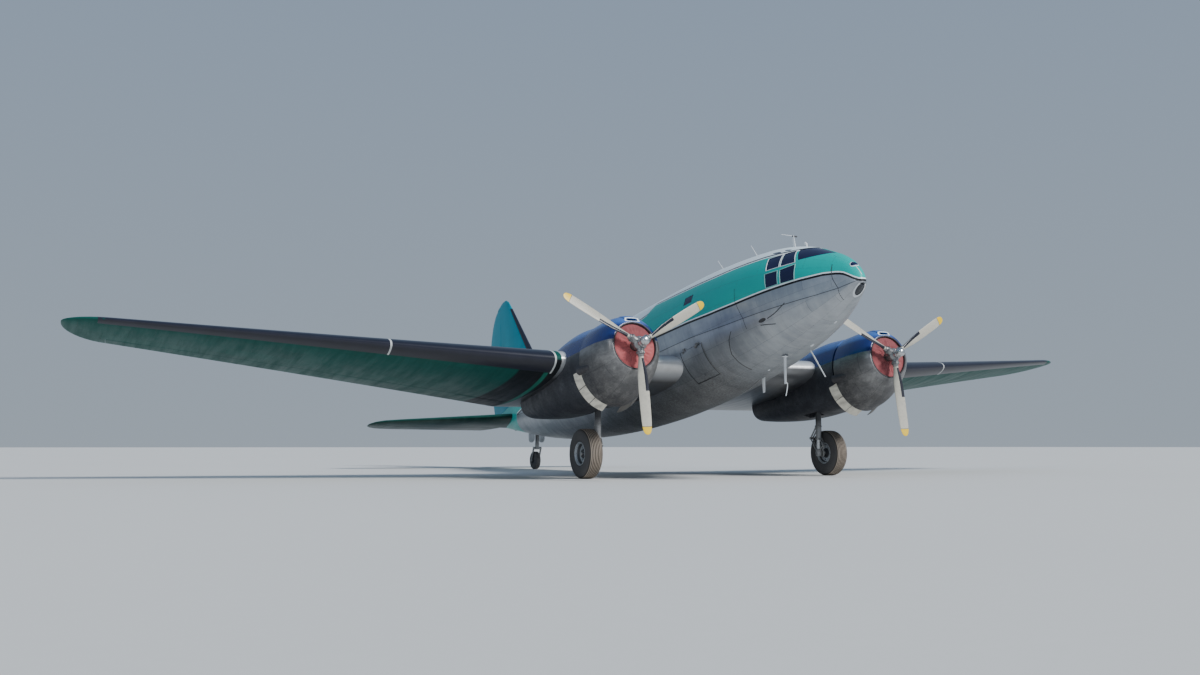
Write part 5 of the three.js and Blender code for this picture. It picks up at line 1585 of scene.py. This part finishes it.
# Main wheels and tyres
# Large low-pressure tyres with plain ribs around the tread, on cast alloy wheels with a ring of
# holes in the disc and a dark hub. The rubber is grey-brown with dust on the tread.
TYRE_RADIUS, TYRE_WIDTH, BEAD_RADIUS, TREAD_HALF = 0.6528, 0.440, 0.309, 0.30
AXLE_HEIGHT = axle.z
TAIL_TYRE_RADIUS, TAIL_TYRE_WIDTH, TAIL_BEAD = 0.3270, 0.210, 0.130
TAIL_AXLE_HEIGHT = 0.3272


def tyre_rubber():
    material, place = new_finish("dusty_tyre_rubber")
    x, aft, up = axes(place)
    radius = radius_of(aft, up)
    dust = noise(place, 5.0, 5)
    fine = noise(place, 80.0, 3)
    tread = ramp(times(radius, 1 / TYRE_RADIUS), 0.925, 0.985)
    tone = over(dust, (0.034, 0.034, 0.038), (0.075, 0.073, 0.074))
    tone = over(times(tread, between(dust, 0.55, 1.0)), tone, (0.36, 0.295, 0.230))
    tone = over(times(past(fine, 0.60, 0.12), 0.3), tone, (0.16, 0.145, 0.125))
    # Painted shade: the grooves between the ribs of the tread are painted near black.
    groove = near_grid(sum_of(x, TREAD_HALF * TYRE_WIDTH), 2 * TREAD_HALF * TYRE_WIDTH / 6)
    groove = times(ramp(groove, 0.0125, 0.0095), past(radius, 0.60, 0.01))
    tone = over(groove, tone, (0.022, 0.020, 0.018))
    return finished(material, tone, between(dust, 0.66, 0.88), fine, (0.0012, 0.8))


def dark_rings(place, tone):
    """Darker on the hub of a wheel and in a ring around its disc."""
    _, aft, up = axes(place)
    radius = radius_of(aft, up)
    tone = over(ramp(radius, 0.150, 0.135, 0.0, 0.9), tone, (0.014, 0.014, 0.016))
    ring = times(past(radius, 0.236, 0.004), ramp(radius, 0.272, 0.264, 0.0, 0.85))
    return over(ring, tone, (0.020, 0.020, 0.022))


tyre_black = tyre_rubber()
wheel_paint = coat("blue_grey_wheel_paint", (0.34, 0.38, 0.42), (0.50, 0.53, 0.56), (9.0, 5),
                   (45.0, 3, 0.7), (0.35, 0.60), (0.0010, 0.6), (0.60, 0.08, 1.0, (0.055, 0.052, 0.050)),
                   0.35, then=dark_rings)


def tyre_profile(radius, width, bead, grooves, deep):
    """Across and radius of a tyre from one bead over the tread to the other and back."""
    side = [(-0.400, bead), (-0.425, bead + 0.012)]
    for across, share in ((-0.465, 0.10), (-0.492, 0.25), (-0.500, 0.42), (-0.496, 0.58), (-0.478, 0.72),
                          (-0.448, 0.83), (-0.405, 0.915), (-0.355, 0.962), (-0.315, 0.982)):
        side.append((across, bead + (radius - bead) * share))
    tread = []
    rib = 2 * TREAD_HALF / (grooves + 1)
    for i in range(grooves + 1):
        a, b, gap = rib * i - TREAD_HALF, rib * (i + 1) - TREAD_HALF, rib * 0.26
        crown = [radius - 0.006 * (abs(v) / TREAD_HALF) ** 2.5 for v in (a, b)]
        tread += [(a + gap, crown[0]), ((a + b) / 2, (crown[0] + crown[1]) / 2), (b - gap, crown[1])]
        if i < grooves:
            tread += [(b - gap * 0.6, crown[1] - deep), (b + gap * 0.6, crown[1] - deep)]
    rows = side + tread + [(-a, r) for a, r in side[::-1]]
    return [(a * width, r) for a, r in rows] + [(0, bead - 0.001)]


def across_axle(mesh):
    mesh.transform(Matrix.Rotation(math.radians(-90), 4, "Z"))
    return mesh


main_tyre = across_axle(turned("tyre", tyre_profile(TYRE_RADIUS, TYRE_WIDTH, BEAD_RADIUS, 5, 0.018), 144))
rim = across_axle(turned("rim", [
    (0.130, 0), (0.130, 0.055), (0.122, 0.068), (0.108, 0.074), (0.105, 0.108), (0.060, 0.128),
    (0.052, 0.140), (0.055, 0.228), (0.064, 0.240), (0.150, 0.276), (0.170, 0.282), (0.186, 0.290),
    (0.190, 0.302), (0.184, 0.3086), (-0.184, 0.3086), (-0.190, 0.302), (-0.184, 0.288), (-0.100, 0.250),
    (-0.100, 0.120),
    (-0.150, 0.100), (-0.150, 0.056), (0.080, 0.056), (0.080, 0)], 96))


def axle_rods(count, circle, inner, outer, **settings):
    """A ring of rods along the axle, at even steps of a circle."""
    spots = [Vector((0, circle * math.cos(t), circle * math.sin(t))) for t in turns(count)]
    return [rod(spot + ACROSS * inner, spot + ACROSS * outer, **settings) for spot in spots]


disc = worked(rim, together("holes", axle_rods(9, 0.186, -0.25, 0.25, radius=0.033, steps=28, edge=0.0)))
hub_cap = across_axle(turned("cap", [(0.126, 0), (0.126, 0.052), (0.134, 0.054), (0.146, 0.046),
                                     (0.152, 0.030), (0.154, 0)], 48))
cap_mesh = together("cap", [hub_cap] + axle_rods(8, 0.090, 0.100, 0.124, radius=0.009, steps=6))
for side, sign in SIDES:
    where = Matrix.Translation((sign * WHEEL_X, axle.y, AXLE_HEIGHT)) @ Matrix.Rotation(
        0 if sign > 0 else math.pi, 4, "Z")
    body = "main_wheel_" + side
    for mesh, name, material, node, slot, angle in (
            (main_tyre, "main_tyre_ribbed_", tyre_black, "main_tyre_" + side, None, 35),
            (disc.data, "main_wheel_disc_", wheel_paint, body, None, 30),
            (cap_mesh, "main_wheel_cap_", fitting_steel, None, body, 30)):
        fitted(mesh.copy(), name + side, material, node, slot, body, where, angle)
drop(disc)


# Main legs
# One forged strut inboard of each wheel with a bright sliding tube, a folding drag link behind it,
# scissor links in front and a brake hose. Silver paint, dusty, with clean steel on the slide.
# Painted shade: the silver turns near black toward the top of a leg, under the nacelle and hull.
def top_in_painted_shade(place, tone):
    return over(ramp(axes(place)[2], 1.30, 1.62, 0.0, 0.85), tone, (0.022, 0.023, 0.028))


silver = coat("dusty_silver_paint", (0.20, 0.205, 0.21), (0.36, 0.365, 0.365), (6.0, 5), (50.0, 3, 0.7),
              (0.38, 0.60), (0.0010, 0.6), (0.57, 0.1, 0.6, (0.09, 0.085, 0.08)), 0.55, then=top_in_painted_shade)


def cross_pin(half, aft, height, radius):
    """A pin across the leg."""
    return rod((LEG_X - half, aft, height), (LEG_X + half, aft, height), radius)


leg_parts = [rod((LEG_X, 0, bottom), (LEG_X, 0, top), radius, steps=40) for bottom, top, radius in (
    (1.040, LEG_TOP, 0.084), (1.035, 1.085, 0.098), (1.400, 1.450, 0.096),
    (AXLE_HEIGHT - 0.09, AXLE_HEIGHT + 0.12, 0.086))]
leg_parts += [rod((LEG_X - 0.090, 0, AXLE_HEIGHT), (WHEEL_X + 0.068, 0, AXLE_HEIGHT), 0.0545, steps=32),
              rod((LEG_X + 0.085, 0, AXLE_HEIGHT), (LEG_X + 0.135, 0, AXLE_HEIGHT), 0.120, steps=40),
              cross_pin(0.065, 0.330, 1.080, 0.036), cross_pin(0.062, 0.062, 1.420, 0.040)]
for x in (LEG_X - 0.040, LEG_X + 0.040):
    leg_parts += [rod((x, 0.050, AXLE_HEIGHT + 0.05), (x, 0.330, 1.080), 0.024, 0.020),
                  rod((x, 0.330, 1.080), (x, 0.062, 1.420), 0.022)]
for wide in (-0.0495, 0.0495):
    knee = (LEG_X + wide / 2.2, -0.235, 0.885)
    leg_parts += [rod((LEG_X + wide, -0.080, AXLE_HEIGHT + 0.06), knee, 0.019, 0.014),
                  rod(knee, (LEG_X + wide, -0.085, 1.070), 0.014, 0.019)]
leg_parts += [cross_pin(0.040, -0.235, 0.885, 0.018), cross_pin(0.062, -0.075, AXLE_HEIGHT + 0.06, 0.022),
              cross_pin(0.062, -0.080, 1.070, 0.022)]
on_both_sides(together("leg", leg_parts), "main_leg_frame", silver, "main_leg", where=stand)
slide = rod((LEG_X, 0, AXLE_HEIGHT + 0.10), (LEG_X, 0, 1.050), 0.060, steps=40)
on_both_sides(slide, "main_leg_slide", hub_steel, slot="main_leg", where=stand)


def hose(points, radius):
    """A bent pipe through points, round in section."""
    spots = []
    ends = [points[0]] + list(points) + [points[-1]]
    for i in range(1, len(ends) - 2):
        p0, p1, p2, p3 = [Vector(p) for p in ends[i - 1:i + 3]]
        for t in spread(0, 1, 8)[:-1]:
            spots.append(0.5 * (2 * p1 + (p2 - p0) * t + (2 * p0 - 5 * p1 + 4 * p2 - p3) * t**2
                                + (3 * p1 - p0 - 3 * p2 + p3) * t**3))
    spots.append(Vector(points[-1]))
    rings = []
    side = Vector((0.31, 0.17, 0.93)).normalized()
    for i, spot in enumerate(spots):
        way = (spots[min(i + 1, len(spots) - 1)] - spots[max(i - 1, 0)]).normalized()
        first = (side - way * side.dot(way)).normalized()
        second = way.cross(first)
        rings.append([spot + (first * math.cos(t) + second * math.sin(t)) * radius for t in turns(10)])
    return lofted("hose", rings)


brake_hose = hose([(LEG_X + out, aft, height) for out, aft, height in (
    (0.09, 0.075, AXLE_HEIGHT), (0.075, 0.13, AXLE_HEIGHT + 0.12), (0.030, 0.115, 0.93), (0.060, 0.085, 1.08),
    (0.055, 0.075, 1.38))], 0.009)
on_both_sides(brake_hose, "brake_hose", boot_black, slot="main_leg", where=stand)


# Tail wheel
# A short fixed leg in the tail cone, a forked arm of forged steel that swivels below it, and a small
# ribbed tyre on a plain wheel. The leg and the fork have the silver paint of the main legs.
repainted("tail_leg", silver)
pivot = TAIL_SWIVEL - 0.010
fork_parts = [rod((0, TAIL_SWIVEL, 0.742), (0, TAIL_SWIVEL, FORK_TOP), 0.077, steps=40),
              rod((0, TAIL_SWIVEL, 0.900), (0, TAIL_SWIVEL, 0.935), 0.080, steps=40),
              rod((-0.165, pivot, 0.775), (0.165, pivot, 0.775), 0.047, steps=32)]


def along_axle(start, end, radius, steps=24):
    return rod((start, TAIL_AXLE, TAIL_AXLE_HEIGHT), (end, TAIL_AXLE, TAIL_AXLE_HEIGHT), radius, steps=steps)


fork_parts.append(along_axle(-0.175, 0.175, 0.0195))
for _, sign in SIDES:
    x = sign * 0.145
    fork_parts += [rod((x, pivot, 0.770), (x, TAIL_AXLE, TAIL_AXLE_HEIGHT), 0.034, 0.028),
                   along_axle(sign * 0.125, sign * 0.172, 0.046),
                   along_axle(sign * 0.168, sign * 0.178, 0.026, 6)]
fitted(together("fork", fork_parts), "tail_fork_arms", silver, "tail_fork", body="tail_fork", where=stand)
tail_profile = tyre_profile(TAIL_TYRE_RADIUS, TAIL_TYRE_WIDTH, TAIL_BEAD, 3, 0.007)
tail_tyre = across_axle(turned("tail_tyre", tail_profile, 96))
tail_rim = across_axle(turned("tail_rim", [
    (-0.088, 0.0215), (-0.088, 0.045), (-0.060, 0.050), (-0.050, 0.095), (-0.070, 0.118), (-0.088, 0.122),
    (-0.090, 0.1285), (0.090, 0.1285), (0.088, 0.122), (0.070, 0.118), (0.050, 0.095), (0.060, 0.050),
    (0.088, 0.045), (0.088, 0.0215)], 64))
where = Matrix.Translation((0, TAIL_AXLE + axle.y, TAIL_AXLE_HEIGHT))
fitted(tail_tyre, "tail_tyre_ribbed", tyre_black, "tail_tyre", body="tail_wheel", where=where, angle=35)
fitted(tail_rim, "tail_wheel_disc", wheel_paint, "tail_wheel", body="tail_wheel", where=where)


# Nose lamp
# A round landing lamp let into the nose below the stripe: dark ribbed glass that follows the skin,
# cut out of the hull's own shape, with a white painted ring around it.
def lamp_glass():
    material, place = new_finish("ribbed_lamp_glass")
    ribs = wire("Math", times(axes(place)[0], 190.0), operation="SINE")
    cloud = noise(place, 12.0, 3)
    tone = over(cloud, (0.020, 0.022, 0.028), (0.060, 0.064, 0.072))
    return finished(material, tone, between(cloud, 0.04, 0.12), ribs, (0.0015, 1.0), specular=0.35)


lens = worked(lofted("lens", [hull_ring(y, 0.010) for y in spread(0.14, 0.60, 24)]),
              lamp_plug(-0.1, 0.75, 0.106), "INTERSECT")
fitted(lens, "nose_lamp_glass", lamp_glass(), "nose_lamp")
ring = worked(layer(-0.003, 0.012, (0.12, 0.62, 30)), lamp_plug(-0.1, 0.75, 0.140, 96), "INTERSECT")
worked(ring, lamp_plug(-0.1, 0.75, 0.109, 96))
fitted(ring, "nose_lamp_ring", white_frame, slot="nose_shell", angle=40)


# Masts and aerials
# Small streamlined masts of painted alloy and thin steel whips on the roof and belly, and the air
# speed probe under the nose.
def mast(foot, top, along, across, tip_along, tip_across):
    """A streamlined strut: an oval section that narrows from foot to top."""
    rings = []
    for share in spread(0, 1, 10):
        middle = Vector(foot).lerp(Vector(top), share)
        a, c = along + (tip_along - along) * share, across + (tip_across - across) * share
        rings.append([(middle.x + c * math.sin(t), middle.y + a * math.cos(t), middle.z) for t in turns(24)])
    return lofted("mast", rings)


DOWN = Vector((0, math.sin(GROUND_ANGLE), -math.cos(GROUND_ANGLE)))


def hanging(spot, long, along, across, lean=(0, 0, 0)):
    """A streamlined strut that hangs straight down from the belly."""
    place, out = on_skin(spot)
    end = place + DOWN * long + Vector(lean)
    return mast(place - out * 0.03, end, along, across, along * 0.7, across * 0.7)


blade = mast((0, 2.450, 1.350), (0, 2.450, 1.788), 0.060, 0.026, 0.030, 0.012)
fitted(blade, "roof_mast_blade", white_frame, "roof_mast")
whips = [rod((0.110, 2.450, 1.772), (-0.360, 2.450, 1.784), 0.009, 0.004, 12),
         rod((0, 4.000, 1.670), (0, 4.290, 2.140), 0.014, 0.007, 12),
         rod((0, 5.600, 1.785), (0, 5.930, 2.250), 0.014, 0.007, 12),
         rod((0, 4.000, 1.670), (0, 4.030, 1.730), 0.032, 0.020, 20),
         rod((0, 5.600, 1.785), (0, 5.630, 1.840), 0.032, 0.020, 20)]
fitted(together("whips", whips), "roof_whips", white_frame, slot="roof_mast")
crossbar = rod((-0.030, 2.450, 1.765), (0.115, 2.450, 1.765), 0.020)
fitted(crossbar, "roof_mast_crossbar", seal_black, slot="roof_mast")
beacon = [rod((0, 1.960, 1.300), (0, 1.960, 1.410), 0.022, 0.018),
          rod((0, 1.960, 1.385), (0, 2.010, 1.440), 0.028)]
fitted(together("beacon", beacon), "roof_beacon_stub", white_frame, slot="roof_mast")
PROBE = (-0.190, 3.130, -1.182)
root = on_skin(PROBE)[0]
probe = [hanging(PROBE, 0.700, 0.055, 0.024),
         hanging((0.420, 2.850, -1.120), 0.740, 0.026, 0.014, (0.20, -0.33, 0)),
         rod(root - UP * 0.004, root + DOWN * 0.030, 0.085, 0.060),
         hose([root + DOWN * down + ACROSS * side for down, side in (
             (0.66, 0.01), (0.70, 0.06), (0.83, 0.05), (1.00, 0.01))], 0.011)]
fitted(together("probes", probe), "belly_probe_masts", white_frame, slot="nose_shell")
aerial = hanging((0.106, 4.550, -1.415), 0.380, 0.075, 0.016)
fitted(aerial, "belly_blade_aerial", white_frame, slot="forward_shell")
